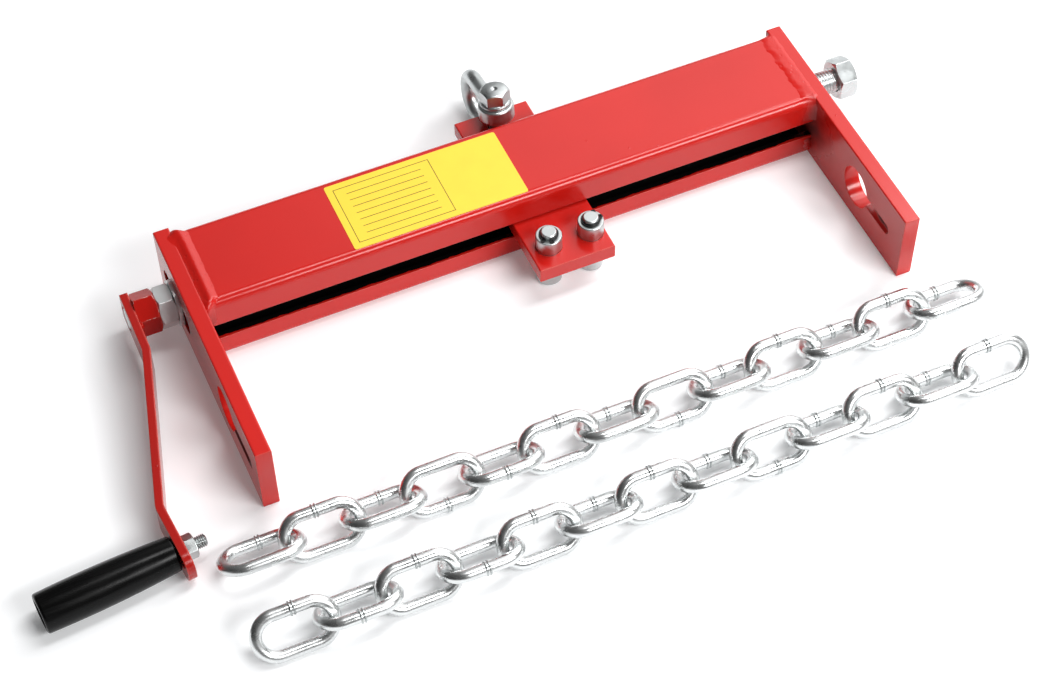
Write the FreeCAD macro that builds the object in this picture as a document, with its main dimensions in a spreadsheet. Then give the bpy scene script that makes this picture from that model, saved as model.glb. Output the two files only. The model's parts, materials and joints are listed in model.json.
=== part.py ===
"""Engine load leveler: a slotted frame, a crank-driven screw with its traveler, a shackle and two chains.

Lengths are in millimetres and angles in degrees. X runs along the screw away from the crank, Y points to
the rear and Z points up. The origin lies on the floor under the middle of the frame.
"""
import FreeCAD
import Part
import Sketcher
import math
import os
import re

# Driving dimensions, one cell of the sheet each
SIZES = {
    # Frame
    "frame_length": 424,
    "plate_thickness": 10,
    "plate_height": 50,
    "plate_length": 180,
    "plate_rear_margin": 3,
    "plate_edge_round": 0.8,
    "channel_width": 64,
    "upper_channel_height": 20,
    "lower_channel_height": 17,
    "channel_wall": 4.5,
    "channel_bend_radius": 5.5,
    "keyhole_radius": 14,
    "keyhole_setback": 56.5,
    "keyhole_slot_width": 8,
    "keyhole_slot_length": 37,
    "screw_hole_height": 18,
    "screw_hole_length": 48,
    "weld_leg": 5,
    "weld_chord": 9,
    "weld_crown": 1.8,
    # Screw and nuts
    "screw_radius": 8,
    "screw_chamfer": 1.5,
    "screw_end_margin": 1,
    "thread_gap": 0.05,
    "running_gap": 0.08,
    "nut_flats": 24,
    "nut_height": 12,
    "thrust_nut_height": 10.5,
    "hub_nut_height": 13.5,
    "nut_chamfer_angle": 30,
    "washer_radius": 14.5,
    "washer_thickness": 2.5,
    "right_nut_standoff": 22,
    # Crank arm and grip
    "crank_radius": 162.4,
    "arm_width": 22,
    "arm_thickness": 5,
    "arm_offset": 25.5,
    "arm_hub_flat": 31,
    "arm_hub_overhang": 11,
    "arm_hub_round": 1.2,
    "arm_grip_flat": 23.1,
    "arm_grip_overhang": 17.5,
    "arm_grip_round": 9,
    "arm_bend_radius": 12,
    "grip_yaw": 5,
    "bolt_radius": 4,
    "bolt_gap": 0.1,
    "bolt_chamfer": 0.8,
    "bolt_end_length": 7,
    "bolt_head_radius": 6.5,
    "bolt_head_height": 5,
    "grip_nut_flats": 13,
    "grip_nut_height": 6.5,
    "grip_length": 81,
    "grip_end_radius": 11.9,
    "grip_neck_radius": 10.4,
    "grip_barrel_radius": 730,
    "grip_edge_round": 1.6,
    "grip_recess_radius": 8.5,
    "grip_recess_depth": 9,
    "grip_gap": 0.3,
    "floor_gap": 0.6,
    # Traveler
    "traveler_place": 19.5,
    "traveler_width": 50,
    "traveler_thickness": 10,
    "traveler_front_overhang": 40.5,
    "traveler_rear_overhang": 29,
    "traveler_edge_round": 0.8,
    "keeper_spacing": 28,
    "keeper_offset": 2,
    "keeper_setback": 16.5,
    "sleeve_radius": 8.2,
    "sleeve_stand": 10.5,
    "sleeve_floor_gap": 0.5,
    "sleeve_chamfer": 0.5,
    "sleeve_fit": 0.05,
    "core_radius": 4.9,
    "core_gap": 0.1,
    "core_stand": 3.4,
    "core_chamfer": 0.6,
    "clip_thickness": 1.2,
    "clip_wall": 1.2,
    "clip_opening": 2.4,
    "clip_lug_radius": 1.5,
    "clip_lug_hole_radius": 0.6,
    "clip_lug_spread": 5.6,
    "clip_lug_stand": 0.7,
    "left_clip_angle": -121,
    "right_clip_angle": 25,
    # Shackle
    "shackle_setback": 13,
    "shackle_tilt": 10,
    "shackle_lift": 2.5,
    "shackle_jaw": 20,
    "shackle_body": 10,
    "shackle_reach": 55,
    "shackle_ear_radius": 11.5,
    "shackle_ear_round": 1.5,
    "shackle_pin_radius": 5.5,
    "shackle_pin_gap": 0.3,
    "shackle_collar_radius": 10,
    "shackle_collar_height": 3,
    "shackle_head_flats": 17,
    "shackle_head_height": 7,
    # Chains
    "link_wire": 6,
    "link_inner_length": 36.8,
    "link_inner_width": 16.5,
    "link_gap": 0.3,
    "broad_tilt": 50,
    "narrow_tilt": -20,
    "chain_bolt_gap": 1,
    "chain_plate_gap": 22.45,
    "chain_spacing": 54.3,
    # Cuts run past the faces that they cut by this much
    "overrun": 2,
}

# Sizes that follow from the driving dimensions
DERIVED = {
    "slot_height": "plate_height - upper_channel_height - lower_channel_height",
    "screw_height": "lower_channel_height + slot_height / 2",
    "plate_rear": "channel_width / 2 + plate_rear_margin",
    "plate_front": "plate_length - plate_rear",
    "keyhole_place": "plate_front - keyhole_setback",
    "plate_inner": "frame_length / 2 - plate_thickness",
    "arm_inner": "frame_length / 2 + washer_thickness + thrust_nut_height + hub_nut_height",
    "arm_outer": "arm_inner + arm_thickness",
    "arm_middle": "arm_inner + arm_thickness / 2",
    "grip_arm_middle": "arm_middle + arm_offset",
    "right_nut_inner": "frame_length / 2 + right_nut_standoff",
    "screw_right": "right_nut_inner + nut_height + screw_end_margin",
    "grip_middle_radius": "(grip_end_radius + grip_neck_radius) / 2"
                          " + grip_length * grip_length / (8 * grip_barrel_radius)",
    "grip_height": "grip_middle_radius + floor_gap",
    "crank_droop": "asin((screw_height - grip_height) / crank_radius)",
    "traveler_front_reach": "channel_width / 2 + traveler_front_overhang",
    "traveler_rear_reach": "channel_width / 2 + traveler_rear_overhang",
    "keeper_place": "traveler_front_reach - keeper_setback",
    "sleeve_top": "screw_height + traveler_thickness / 2 + sleeve_stand",
    "sleeve_length": "sleeve_top - sleeve_floor_gap",
    "shackle_place": "traveler_rear_reach - shackle_setback",
    "shackle_leg": "shackle_jaw / 2 + shackle_body / 2",
    "shackle_bend": "shackle_reach - shackle_body / 2 - shackle_leg",
    "shackle_hole_radius": "shackle_pin_radius / cos(shackle_tilt)"
                           " + traveler_thickness / 2 * tan(shackle_tilt) + shackle_pin_gap",
    "shackle_ear_top": "shackle_jaw / 2 + shackle_body",
    "bolt_reach": "arm_thickness + grip_nut_height + bolt_end_length",
    "bolt_end": "grip_arm_middle - bolt_reach + arm_thickness / 2",
    "chain_left_end": "bolt_end - chain_bolt_gap",
    "link_spread": "link_inner_width + link_wire",
    "chain_a_distance": "plate_front + chain_plate_gap + link_spread / 2 + link_wire / 2",
    "chain_b_distance": "chain_a_distance + chain_spacing",
    "link_length": "link_inner_length + 2 * link_wire",
    "link_straight": "link_inner_length + link_wire - link_spread",
    "link_step": "link_inner_length - link_gap",
    "chain_height": "link_spread / 2 * sin(broad_tilt) + link_wire / 2",
}

LINKS_PER_CHAIN = 13
HEX_CORNERS = 6
CORNER_ANGLE = 60
CORNER_UP = 0
FLAT_UP = 30

NAMES = re.compile(r"\b[a-z]+(?:_[a-z]+)*\b")
X_AXIS = FreeCAD.Vector(1, 0, 0)
Y_AXIS = FreeCAD.Vector(0, 1, 0)
Z_AXIS = FreeCAD.Vector(0, 0, 1)

doc = FreeCAD.newDocument("LoadLeveler")
sheet = doc.addObject("Spreadsheet::Sheet", "Sizes")
nodes = []


def fill_sheet():
    """Write each driving dimension to its own cell, with its name beside it."""
    for row, (name, number) in enumerate(SIZES.items(), start=1):
        sheet.set(f"A{row}", name)
        sheet.set(f"B{row}", str(number))
        sheet.setAlias(f"B{row}", name)
    doc.recompute()


def formula(text):
    """Turn size names into references to the sheet, and derived sizes into their formulas."""
    def reference(match):
        name = match.group()
        if name in SIZES:
            return f"Sizes.{name}"
        if name in DERIVED:
            return f"({formula(DERIVED[name])})"
        return name
    return NAMES.sub(reference, text)


def value(text):
    """The number that a formula gives now."""
    return float(sheet.evalExpression(formula(text)))


def new_body(label):
    """A body for one sub-part, which becomes a node of that name."""
    body = doc.addObject("PartDesign::Body", label)
    body.Label = label
    nodes.append(body)
    return body


def place(item, x="0", y="0", z="0", axis=X_AXIS, angle="0"):
    """Bind the place of a sub-part, and its turn about one axis, to formulas."""
    item.Placement = FreeCAD.Placement(FreeCAD.Vector(), FreeCAD.Rotation(axis, value(angle)))
    for letter, text in zip("xyz", (x, y, z)):
        item.setExpression(f"Placement.Base.{letter}", formula(text))
    item.setExpression("Placement.Rotation.Angle", formula(angle))


def new_sketch(body, name, plane, offset=None):
    """A sketch on one of the body's origin planes, moved along its normal by the offset."""
    sketch = body.newObject("Sketcher::SketchObject", name)
    support = next(item for item in body.Origin.OriginFeatures if item.Role == plane)
    sketch.AttachmentSupport = [(support, "")]
    sketch.MapMode = "FlatFace"
    if offset:
        sketch.setExpression("AttachmentOffset.Base.z", formula(offset))
    return sketch


def bind(sketch, kind, *elements, size):
    """Add a constraint whose value follows a formula."""
    index = sketch.addConstraint(Sketcher.Constraint(kind, *elements, value(size)))
    sketch.setExpression(f"Constraints[{index}]", formula(size))


def pin(sketch, geometry, point, x, y):
    """Hold one point of the sketch at a place that follows formulas."""
    bind(sketch, "DistanceX", -1, 1, geometry, point, size=x)
    bind(sketch, "DistanceY", -1, 1, geometry, point, size=y)


def spot(x, y):
    """A point of the sketch plane at formulas."""
    return FreeCAD.Vector(value(x), value(y), 0)


def draw_polygon(sketch, points):
    """A closed outline with every corner pinned."""
    corners = [spot(x, y) for x, y in points]
    first = sketch.GeometryCount
    count = len(corners)
    for index, corner in enumerate(corners):
        sketch.addGeometry(Part.LineSegment(corner, corners[(index + 1) % count]))
    for index, (x, y) in enumerate(points):
        following = first + (index + 1) % count
        sketch.addConstraint(Sketcher.Constraint("Coincident", first + index, 2, following, 1))
        pin(sketch, first + index, 1, x, y)


def draw_rectangle(sketch, left, right, low, high):
    """A closed rectangle between four formulas."""
    draw_polygon(sketch, [(left, low), (right, low), (right, high), (left, high)])


def draw_circle(sketch, x, y, radius):
    """A circle with its centre pinned."""
    circle = sketch.addGeometry(Part.Circle(spot(x, y), Z_AXIS, value(radius)))
    pin(sketch, circle, 3, x, y)
    bind(sketch, "Radius", circle, size=radius)


def draw_hexagon(sketch, flats):
    """A hexagon about the origin with a corner on the upright axis."""
    corner = f"{flats} / sqrt(3)"
    turns = [90 + CORNER_ANGLE * index for index in range(HEX_CORNERS)]
    draw_polygon(sketch, [(f"{corner} * cos({turn})", f"{corner} * sin({turn})") for turn in turns])


def draw_slot(sketch, start, end, y, half_width):
    """A slot along the sketch's X axis, between the centres of its two round ends."""
    low, high = f"{y} - ({half_width})", f"{y} + ({half_width})"
    radius = value(half_width)
    left = Part.Circle(spot(start, y), Z_AXIS, radius)
    right = Part.Circle(spot(end, y), Z_AXIS, radius)
    quarter = math.pi / 2
    top = sketch.addGeometry(Part.LineSegment(spot(end, high), spot(start, high)))
    back = sketch.addGeometry(Part.ArcOfCircle(left, quarter, 3 * quarter))
    bottom = sketch.addGeometry(Part.LineSegment(spot(start, low), spot(end, low)))
    front = sketch.addGeometry(Part.ArcOfCircle(right, -quarter, quarter))
    for one, other in ((top, back), (back, bottom), (bottom, front), (front, top)):
        sketch.addConstraint(Sketcher.Constraint("Tangent", one, 2, other, 1))
    sketch.addConstraint(Sketcher.Constraint("Horizontal", top))
    pin(sketch, back, 3, start, y)
    bind(sketch, "DistanceX", -1, 1, front, 3, size=end)
    bind(sketch, "Radius", back, size=half_width)


def pad(body, sketch, length, symmetric=False, backward=False):
    """Extrude a sketch, to one side or to both."""
    feature = body.newObject("PartDesign::Pad", f"{sketch.Name}Pad")
    feature.Profile = sketch
    feature.SideType = "Symmetric" if symmetric else "One side"
    feature.Reversed = backward
    feature.setExpression("Length", formula(length))
    body.Tip = feature
    return feature


def revolve(body, sketch, axis="H_Axis"):
    """Turn a sketch once about one of its own axes."""
    feature = body.newObject("PartDesign::Revolution", f"{sketch.Name}Turn")
    feature.Profile = sketch
    feature.ReferenceAxis = (sketch, [axis])
    body.Tip = feature


def check_cut(body, before):
    """A cut that misses the solid shows no error, so the volumes are compared."""
    doc.recompute()
    if body.Shape.Volume >= before:
        raise RuntimeError(f"A cut in {body.Label} removed nothing")


def cut_through(body, sketch):
    """Cut a sketch through the whole solid, both ways."""
    doc.recompute()
    before = body.Shape.Volume
    feature = body.newObject("PartDesign::Pocket", f"{sketch.Name}Cut")
    feature.Profile = sketch
    feature.Type = "ThroughAll"
    feature.SideType = "Symmetric"
    body.Tip = feature
    check_cut(body, before)


def cut_round(body, sketch, axis):
    """Cut a sketch all round one of its axes."""
    doc.recompute()
    before = body.Shape.Volume
    feature = body.newObject("PartDesign::Groove", f"{sketch.Name}Cut")
    feature.Profile = sketch
    feature.ReferenceAxis = (sketch, [axis])
    body.Tip = feature
    check_cut(body, before)


def sweep(body, section, spine):
    """Carry a section along a spine."""
    feature = body.newObject("PartDesign::AdditivePipe", f"{spine.Name}Pipe")
    feature.Profile = section
    feature.Spine = spine
    body.Tip = feature
    return feature


def round_edges(body, chosen, radius):
    """Round those edges of the body that the test chooses."""
    doc.recompute()
    base = body.Tip
    names = [f"Edge{number}" for number, edge in enumerate(base.Shape.Edges, start=1) if chosen(edge)]
    feature = body.newObject("PartDesign::Fillet", "Rounding")
    feature.Base = (base, names)
    feature.setExpression("Radius", formula(radius))
    body.Tip = feature


def runs_along(edge, axis):
    """True for a straight edge along an axis."""
    if edge.Curve.TypeId != "Part::GeomLine":
        return False
    return edge.tangentAt(edge.FirstParameter).cross(axis).Length < edge.Length * Part.Precision.confusion()


def channel(label, height):
    """A bent channel with its web down, centred on the length."""
    body = new_body(label)
    profile = new_sketch(body, f"{label}Profile", "YZ_Plane")
    outer, inner = "channel_width / 2", "(channel_width / 2 - channel_wall)"
    draw_polygon(profile, [
        (f"-{outer}", "0"), (outer, "0"), (outer, height), (inner, height),
        (inner, "channel_wall"), (f"-{inner}", "channel_wall"), (f"-{inner}", height), (f"-{outer}", height),
    ])
    pad(body, profile, "2 * plate_inner", symmetric=True)
    tops = value(height) - value("overrun")

    def low_corner(edge, half_width):
        middle = edge.CenterOfMass
        beside = math.isclose(abs(middle.y), half_width, abs_tol=Part.Precision.approximation())
        return runs_along(edge, X_AXIS) and beside and middle.z < tops

    outside, inside = value(outer), value(inner)
    round_edges(body, lambda edge: low_corner(edge, outside), "channel_bend_radius")
    round_edges(body, lambda edge: low_corner(edge, inside), "channel_bend_radius - channel_wall")
    return body


def end_plate(label):
    """A flat bar on edge, with the chain's keyhole and the long hole that the screw floats in."""
    body = new_body(label)
    outline = new_sketch(body, f"{label}Outline", "YZ_Plane")
    draw_rectangle(outline, "-plate_front", "plate_rear", "0", "plate_height")
    pad(body, outline, "plate_thickness")
    round_edges(body, lambda edge: runs_along(edge, Y_AXIS), "plate_edge_round")
    eye = new_sketch(body, f"{label}Eye", "YZ_Plane")
    draw_circle(eye, "-keyhole_place", "plate_height / 2", "keyhole_radius")
    cut_through(body, eye)
    slot = new_sketch(body, f"{label}Slot", "YZ_Plane")
    draw_slot(slot, "-(keyhole_place + keyhole_slot_length)", "-keyhole_place", "plate_height / 2",
              "keyhole_slot_width / 2")
    cut_through(body, slot)
    hole = new_sketch(body, f"{label}ScrewHole", "YZ_Plane")
    half = "(screw_hole_length - screw_hole_height) / 2"
    draw_slot(hole, f"-{half}", half, "screw_height", "screw_hole_height / 2")
    cut_through(body, hole)
    return body


def weld_bead(body, name, side, face, reach, low, high):
    """A fillet bead in the corner between a plate's inner face and a channel's flank."""
    sketch = new_sketch(body, name, "XY_Plane", offset=low)
    plate = f"{side} * plate_inner"
    draw_polygon(sketch, [
        (plate, face), (f"{side} * (plate_inner - weld_leg)", face), (plate, f"{face} + {reach}"),
    ])
    pad(body, sketch, f"{high} - ({low})")


def end_weld(label, side):
    """The beads of one end: a low crown over the top seam and fillets down the flanks."""
    body = new_body(label)
    crown = new_sketch(body, f"{label}Crown", "XZ_Plane")
    seam, half = f"{side} * plate_inner", "(weld_chord / 2)"
    radius = f"({half} * {half} + weld_crown * weld_crown) / (2 * weld_crown)"
    draw_crown(crown, seam, "plate_height", half, radius)
    pad(body, crown, "channel_width - 2 * channel_bend_radius", symmetric=True)
    front, rear = "-channel_width / 2", "channel_width / 2"
    upper_low = "lower_channel_height + slot_height"
    upper_high = "plate_height - channel_bend_radius"
    for level, low, high in (("Lower", "channel_bend_radius", "lower_channel_height"),
                             ("Upper", upper_low, upper_high)):
        weld_bead(body, f"{label}{level}Front", side, front, "-weld_leg", low, high)
        weld_bead(body, f"{label}{level}Rear", side, rear, "plate_rear_margin", low, high)
    place(body)


def draw_crown(sketch, x, y, half, radius):
    """A circle's segment on a level chord."""
    low = f"({y}) + weld_crown - ({radius})"
    circle = Part.Circle(spot(x, low), Z_AXIS, value(radius))
    opening = math.asin(value(half) / value(radius))
    upright = math.pi / 2
    chord = sketch.addGeometry(Part.LineSegment(spot(f"{x} - {half}", y), spot(f"{x} + {half}", y)))
    arc = sketch.addGeometry(Part.ArcOfCircle(circle, upright - opening, upright + opening))
    sketch.addConstraint(Sketcher.Constraint("Coincident", chord, 2, arc, 1))
    sketch.addConstraint(Sketcher.Constraint("Coincident", chord, 1, arc, 2))
    pin(sketch, chord, 1, f"{x} - {half}", y)
    pin(sketch, chord, 2, f"{x} + {half}", y)
    bind(sketch, "DistanceY", -1, 1, arc, 3, size=low)


def frame():
    """Two channels between two end plates, welded."""
    place(channel("lower_channel", "lower_channel_height"))
    place(channel("upper_channel", "upper_channel_height"), z="plate_height", angle="180")
    place(end_plate("left_end_plate"), x="-frame_length / 2")
    place(end_plate("right_end_plate"), x="plate_inner")
    end_weld("left_end_weld", "-1")
    end_weld("right_end_weld", "1")


def on_screw(body, x, turn=CORNER_UP):
    """Put a piece on the screw's line."""
    place(body, x, z="screw_height", angle=str(turn))


def hex_nut(label, flats, height, bore):
    """A hexagon nut along X with its corners chamfered at both ends."""
    body = new_body(label)
    outline = new_sketch(body, f"{label}Outline", "YZ_Plane")
    draw_hexagon(outline, flats)
    draw_circle(outline, "0", "0", bore)
    pad(body, outline, height)
    chamfer = new_sketch(body, f"{label}Chamfer", "XY_Plane")
    inner, outer = f"{flats} / 2", f"({flats} / sqrt(3) + overrun)"
    depth = f"({outer} - {inner}) * tan(nut_chamfer_angle)"
    draw_polygon(chamfer, [("0", inner), (depth, outer), ("0", outer)])
    draw_polygon(chamfer, [(height, inner), (height, outer), (f"{height} - {depth}", outer)])
    cut_round(body, chamfer, "H_Axis")
    return body


def lead_screw():
    """The rod from the crank to the right-hand nut, with chamfered ends."""
    body = new_body("lead_screw")
    profile = new_sketch(body, "ScrewProfile", "XY_Plane")
    length = "arm_outer + screw_right"
    neck = "screw_radius - screw_chamfer"
    draw_polygon(profile, [
        ("0", "0"), ("0", neck), ("screw_chamfer", "screw_radius"),
        (f"{length} - screw_chamfer", "screw_radius"), (length, neck), (length, "0"),
    ])
    revolve(body, profile)
    on_screw(body, "-(arm_outer)")


def thrust_washer():
    """The washer between the left plate and its nut."""
    body = new_body("left_thrust_washer")
    ring = new_sketch(body, "WasherRing", "YZ_Plane")
    draw_circle(ring, "0", "0", "washer_radius")
    draw_circle(ring, "0", "0", "screw_radius + thread_gap")
    pad(body, ring, "washer_thickness")
    on_screw(body, "-(frame_length / 2 + washer_thickness)")


def draw_arm_spine(sketch):
    """The arm's middle line: straight at the hub, splayed outward, bent back a little too far at the grip."""
    hub = "-arm_middle"
    flat = ("-grip_arm_middle - arm_grip_flat * sin(grip_yaw)",
            "arm_grip_flat * cos(grip_yaw) - crank_radius")
    tip = ("arm_grip_overhang * sin(grip_yaw) - grip_arm_middle",
           "-crank_radius - arm_grip_overhang * cos(grip_yaw)")
    splay = math.atan2(value("arm_offset"), value("crank_radius - arm_grip_flat - arm_hub_flat"))
    yaw = math.radians(value("grip_yaw"))
    radius = value("arm_bend_radius")
    first, last = spot(hub, "-arm_hub_flat"), spot(*flat)
    hub_centre = first - FreeCAD.Vector(radius, 0, 0)
    grip_centre = last + FreeCAD.Vector(math.cos(yaw), math.sin(yaw), 0) * radius
    swing = FreeCAD.Vector(math.cos(splay), -math.sin(splay), 0) * radius
    hub_bend = Part.Circle(hub_centre, Z_AXIS, radius)
    grip_bend = Part.Circle(grip_centre, Z_AXIS, radius)
    lines = [
        sketch.addGeometry(Part.LineSegment(spot(hub, "arm_hub_overhang"), first)),
        sketch.addGeometry(Part.LineSegment(hub_centre + swing, grip_centre - swing)),
        sketch.addGeometry(Part.LineSegment(last, spot(*tip))),
    ]
    bends = [
        sketch.addGeometry(Part.ArcOfCircle(hub_bend, -splay, 0)),
        sketch.addGeometry(Part.ArcOfCircle(grip_bend, math.pi - splay, math.pi + yaw)),
    ]
    for line, line_end, bend, bend_end in ((lines[0], 2, bends[0], 2), (lines[1], 1, bends[0], 1),
                                           (lines[1], 2, bends[1], 1), (lines[2], 1, bends[1], 2)):
        sketch.addConstraint(Sketcher.Constraint("Tangent", line, line_end, bend, bend_end))
    pin(sketch, lines[0], 1, hub, "arm_hub_overhang")
    pin(sketch, lines[0], 2, hub, "-arm_hub_flat")
    pin(sketch, lines[2], 1, *flat)
    pin(sketch, lines[2], 2, *tip)
    for bend in bends:
        bind(sketch, "Radius", bend, size="arm_bend_radius")


def crank_arm():
    """A bent flat bar with a hole at each end, square at the hub and rounded at the grip."""
    body = new_body("crank_arm")
    spine = new_sketch(body, "ArmSpine", "XY_Plane")
    draw_arm_spine(spine)
    section = new_sketch(body, "ArmSection", "XZ_Plane", offset="-arm_hub_overhang")
    draw_rectangle(section, "-arm_outer", "-arm_inner", "-arm_width / 2", "arm_width / 2")
    sweep(body, section, spine)
    yaw = FreeCAD.Rotation(Z_AXIS, value("grip_yaw"))
    round_edges(body, lambda edge: runs_along(edge, X_AXIS), "arm_hub_round")
    round_edges(body, lambda edge: runs_along(edge, yaw.multVec(X_AXIS)), "arm_grip_round")
    hub_hole = new_sketch(body, "ArmHubHole", "YZ_Plane", offset="-arm_outer")
    draw_circle(hub_hole, "0", "0", "screw_radius + thread_gap")
    cut_through(body, hub_hole)
    grip_hole = new_sketch(body, "ArmGripHole", "YZ_Plane", offset="-grip_arm_middle")
    grip_hole.AttachmentOffset.Rotation = FreeCAD.Rotation(Y_AXIS, value("grip_yaw"))
    grip_hole.setExpression("AttachmentOffset.Base.x", formula("-crank_radius"))
    grip_hole.setExpression("AttachmentOffset.Rotation.Angle", formula("grip_yaw"))
    draw_circle(grip_hole, "0", "0", "bolt_radius + bolt_gap")
    cut_through(body, grip_hole)
    place(body, z="screw_height", angle="crank_droop")


def on_grip_axis(body, along):
    """Put a piece on the bolt's axis, at a distance from the middle of the drooping arm."""
    x = f"{along} * cos(grip_yaw) - grip_arm_middle"
    y = f"{along} * sin(grip_yaw) - crank_radius"
    droop = "placement(vector(0; 0; screw_height); rotationx(crank_droop))"
    seat = f"placement(vector({x}; {y}; 0); rotationz(grip_yaw))"
    body.setExpression("Placement", formula(f"{droop} * {seat}"))


def grip_bolt():
    """The bolt that the grip turns on: its head lies in the grip's recess."""
    body = new_body("grip_bolt")
    profile = new_sketch(body, "BoltProfile", "XY_Plane")
    end = "bolt_reach"
    seat = "-(2 * grip_gap + grip_length - grip_recess_depth)"
    head = f"({seat} - bolt_head_height)"
    draw_polygon(profile, [
        (head, "0"), (head, "bolt_head_radius"), (seat, "bolt_head_radius"), (seat, "bolt_radius"),
        (f"{end} - bolt_chamfer", "bolt_radius"), (end, "bolt_radius - bolt_chamfer"), (end, "0"),
    ])
    revolve(body, profile)
    on_grip_axis(body, "-arm_thickness / 2")


def handle_grip():
    """A slightly barrelled sleeve with a recess for the bolt's head in its free end."""
    body = new_body("handle_grip")
    profile = new_sketch(body, "GripProfile", "XY_Plane")
    bore, tail = "bolt_radius + bolt_gap", "-grip_length"
    shoulder = "(grip_recess_depth - grip_length)"
    points = [
        (tail, "grip_end_radius"), (tail, "grip_recess_radius"), (shoulder, "grip_recess_radius"),
        (shoulder, bore), ("0", bore), ("0", "grip_neck_radius"),
    ]
    corners = [spot(x, y) for x, y in points]
    for one, other in zip(corners, corners[1:]):
        sketch_line = profile.addGeometry(Part.LineSegment(one, other))
        if sketch_line:
            profile.addConstraint(Sketcher.Constraint("Coincident", sketch_line - 1, 2, sketch_line, 1))
    for index, (x, y) in enumerate(points[:-1]):
        pin(profile, index, 1, x, y)
    pin(profile, sketch_line, 2, *points[-1])
    crown = FreeCAD.Vector(value("-grip_length / 2"), value("grip_middle_radius"), 0)
    barrel = profile.addGeometry(Part.Arc(corners[-1], crown, corners[0]))
    profile.addConstraint(Sketcher.Constraint("Coincident", barrel, 1, sketch_line, 2))
    profile.addConstraint(Sketcher.Constraint("Coincident", barrel, 2, 0, 1))
    bind(profile, "Radius", barrel, size="grip_barrel_radius")
    revolve(body, profile)
    rims = (value("grip_end_radius"), value("grip_neck_radius"))

    def outer_rim(edge):
        if edge.Curve.TypeId != "Part::GeomCircle":
            return False
        near = Part.Precision.approximation()
        return any(math.isclose(edge.Curve.Radius, rim, abs_tol=near) for rim in rims)

    round_edges(body, outer_rim, "grip_edge_round")
    on_grip_axis(body, "-(arm_thickness / 2 + grip_gap)")


def crank():
    """The screw with its nuts, the arm on its left end and the grip on the arm, which droops to the floor."""
    bore = "screw_radius + thread_gap"
    lead_screw()
    thrust_washer()
    thrust_nut = hex_nut("left_thrust_nut", "nut_flats", "thrust_nut_height", bore)
    on_screw(thrust_nut, "hub_nut_height - arm_inner", FLAT_UP)
    on_screw(hex_nut("crank_hub_nut", "nut_flats", "hub_nut_height", bore), "-(arm_inner)")
    on_screw(hex_nut("right_end_nut", "nut_flats", "nut_height", bore), "right_nut_inner")
    crank_arm()
    grip_bolt()
    grip_nut = hex_nut("grip_nut", "grip_nut_flats", "grip_nut_height", "bolt_radius + thread_gap")
    on_grip_axis(grip_nut, "arm_thickness / 2")
    handle_grip()


def traveler_bar(label, near, far, holes):
    """One of the flat bars on the nut, with round holes at given places and radii."""
    body = new_body(label)
    outline = new_sketch(body, f"{label}Outline", "XY_Plane")
    draw_rectangle(outline, "-traveler_width / 2", "traveler_width / 2", near, far)
    pad(body, outline, "traveler_thickness", symmetric=True)
    round_edges(body, lambda edge: runs_along(edge, Y_AXIS), "traveler_edge_round")
    drilling = new_sketch(body, f"{label}Drilling", "XY_Plane")
    for x, y, radius in holes:
        draw_circle(drilling, x, y, radius)
    cut_through(body, drilling)
    place(body, x="traveler_place", z="screw_height")


def keeper_sleeve(label, x):
    """A thick sleeve through the front bar, with its ends chamfered."""
    body = new_body(label)
    profile = new_sketch(body, f"{label}Profile", "XZ_Plane")
    bore, neck = "core_radius + core_gap", "sleeve_radius - sleeve_chamfer"
    draw_polygon(profile, [
        (bore, "0"), (neck, "0"), ("sleeve_radius", "sleeve_chamfer"),
        ("sleeve_radius", "sleeve_length - sleeve_chamfer"), (neck, "sleeve_length"), (bore, "sleeve_length"),
    ])
    revolve(body, profile, "V_Axis")
    place(body, f"traveler_place + {x}", "-keeper_place", "sleeve_floor_gap")


def keeper_clip(label, x, angle):
    """The spring clip on the core: an open ring with a drilled lug on each side of its opening."""
    body = new_body(label)
    ring = new_sketch(body, f"{label}Ring", "XY_Plane")
    draw_circle(ring, "0", "0", "core_radius + clip_wall")
    pad(body, ring, "clip_thickness")
    reach = "core_radius + clip_lug_stand"
    sides = (("Left", "clip_lug_spread / 2"), ("Right", "-clip_lug_spread / 2"))
    for side, y in sides:
        lug = new_sketch(body, f"{label}{side}Lug", "XY_Plane")
        draw_circle(lug, reach, y, "clip_lug_radius")
        pad(body, lug, "clip_thickness")
    opening = new_sketch(body, f"{label}Opening", "XY_Plane")
    past = f"{reach} + clip_lug_radius + overrun"
    draw_rectangle(opening, "0", past, "-clip_opening / 2", "clip_opening / 2")
    cut_through(body, opening)
    bore = new_sketch(body, f"{label}Bore", "XY_Plane")
    draw_circle(bore, "0", "0", "core_radius + thread_gap")
    cut_through(body, bore)
    holes = new_sketch(body, f"{label}Holes", "XY_Plane")
    for side, y in sides:
        draw_circle(holes, reach, y, "clip_lug_hole_radius")
    cut_through(body, holes)
    place(body, f"traveler_place + {x}", "-keeper_place", "sleeve_top", Z_AXIS, angle)


def keeper_core(label, x):
    """The solid pin inside a sleeve, level with it below and proud of it above."""
    body = new_body(label)
    profile = new_sketch(body, f"{label}Profile", "XZ_Plane")
    high, neck = "(sleeve_length + core_stand)", "core_radius - core_chamfer"
    draw_polygon(profile, [
        ("0", "0"), (neck, "0"), ("core_radius", "core_chamfer"),
        ("core_radius", f"{high} - core_chamfer"), (neck, high), ("0", high),
    ])
    revolve(body, profile, "V_Axis")
    place(body, f"traveler_place + {x}", "-keeper_place", "sleeve_floor_gap")


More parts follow.
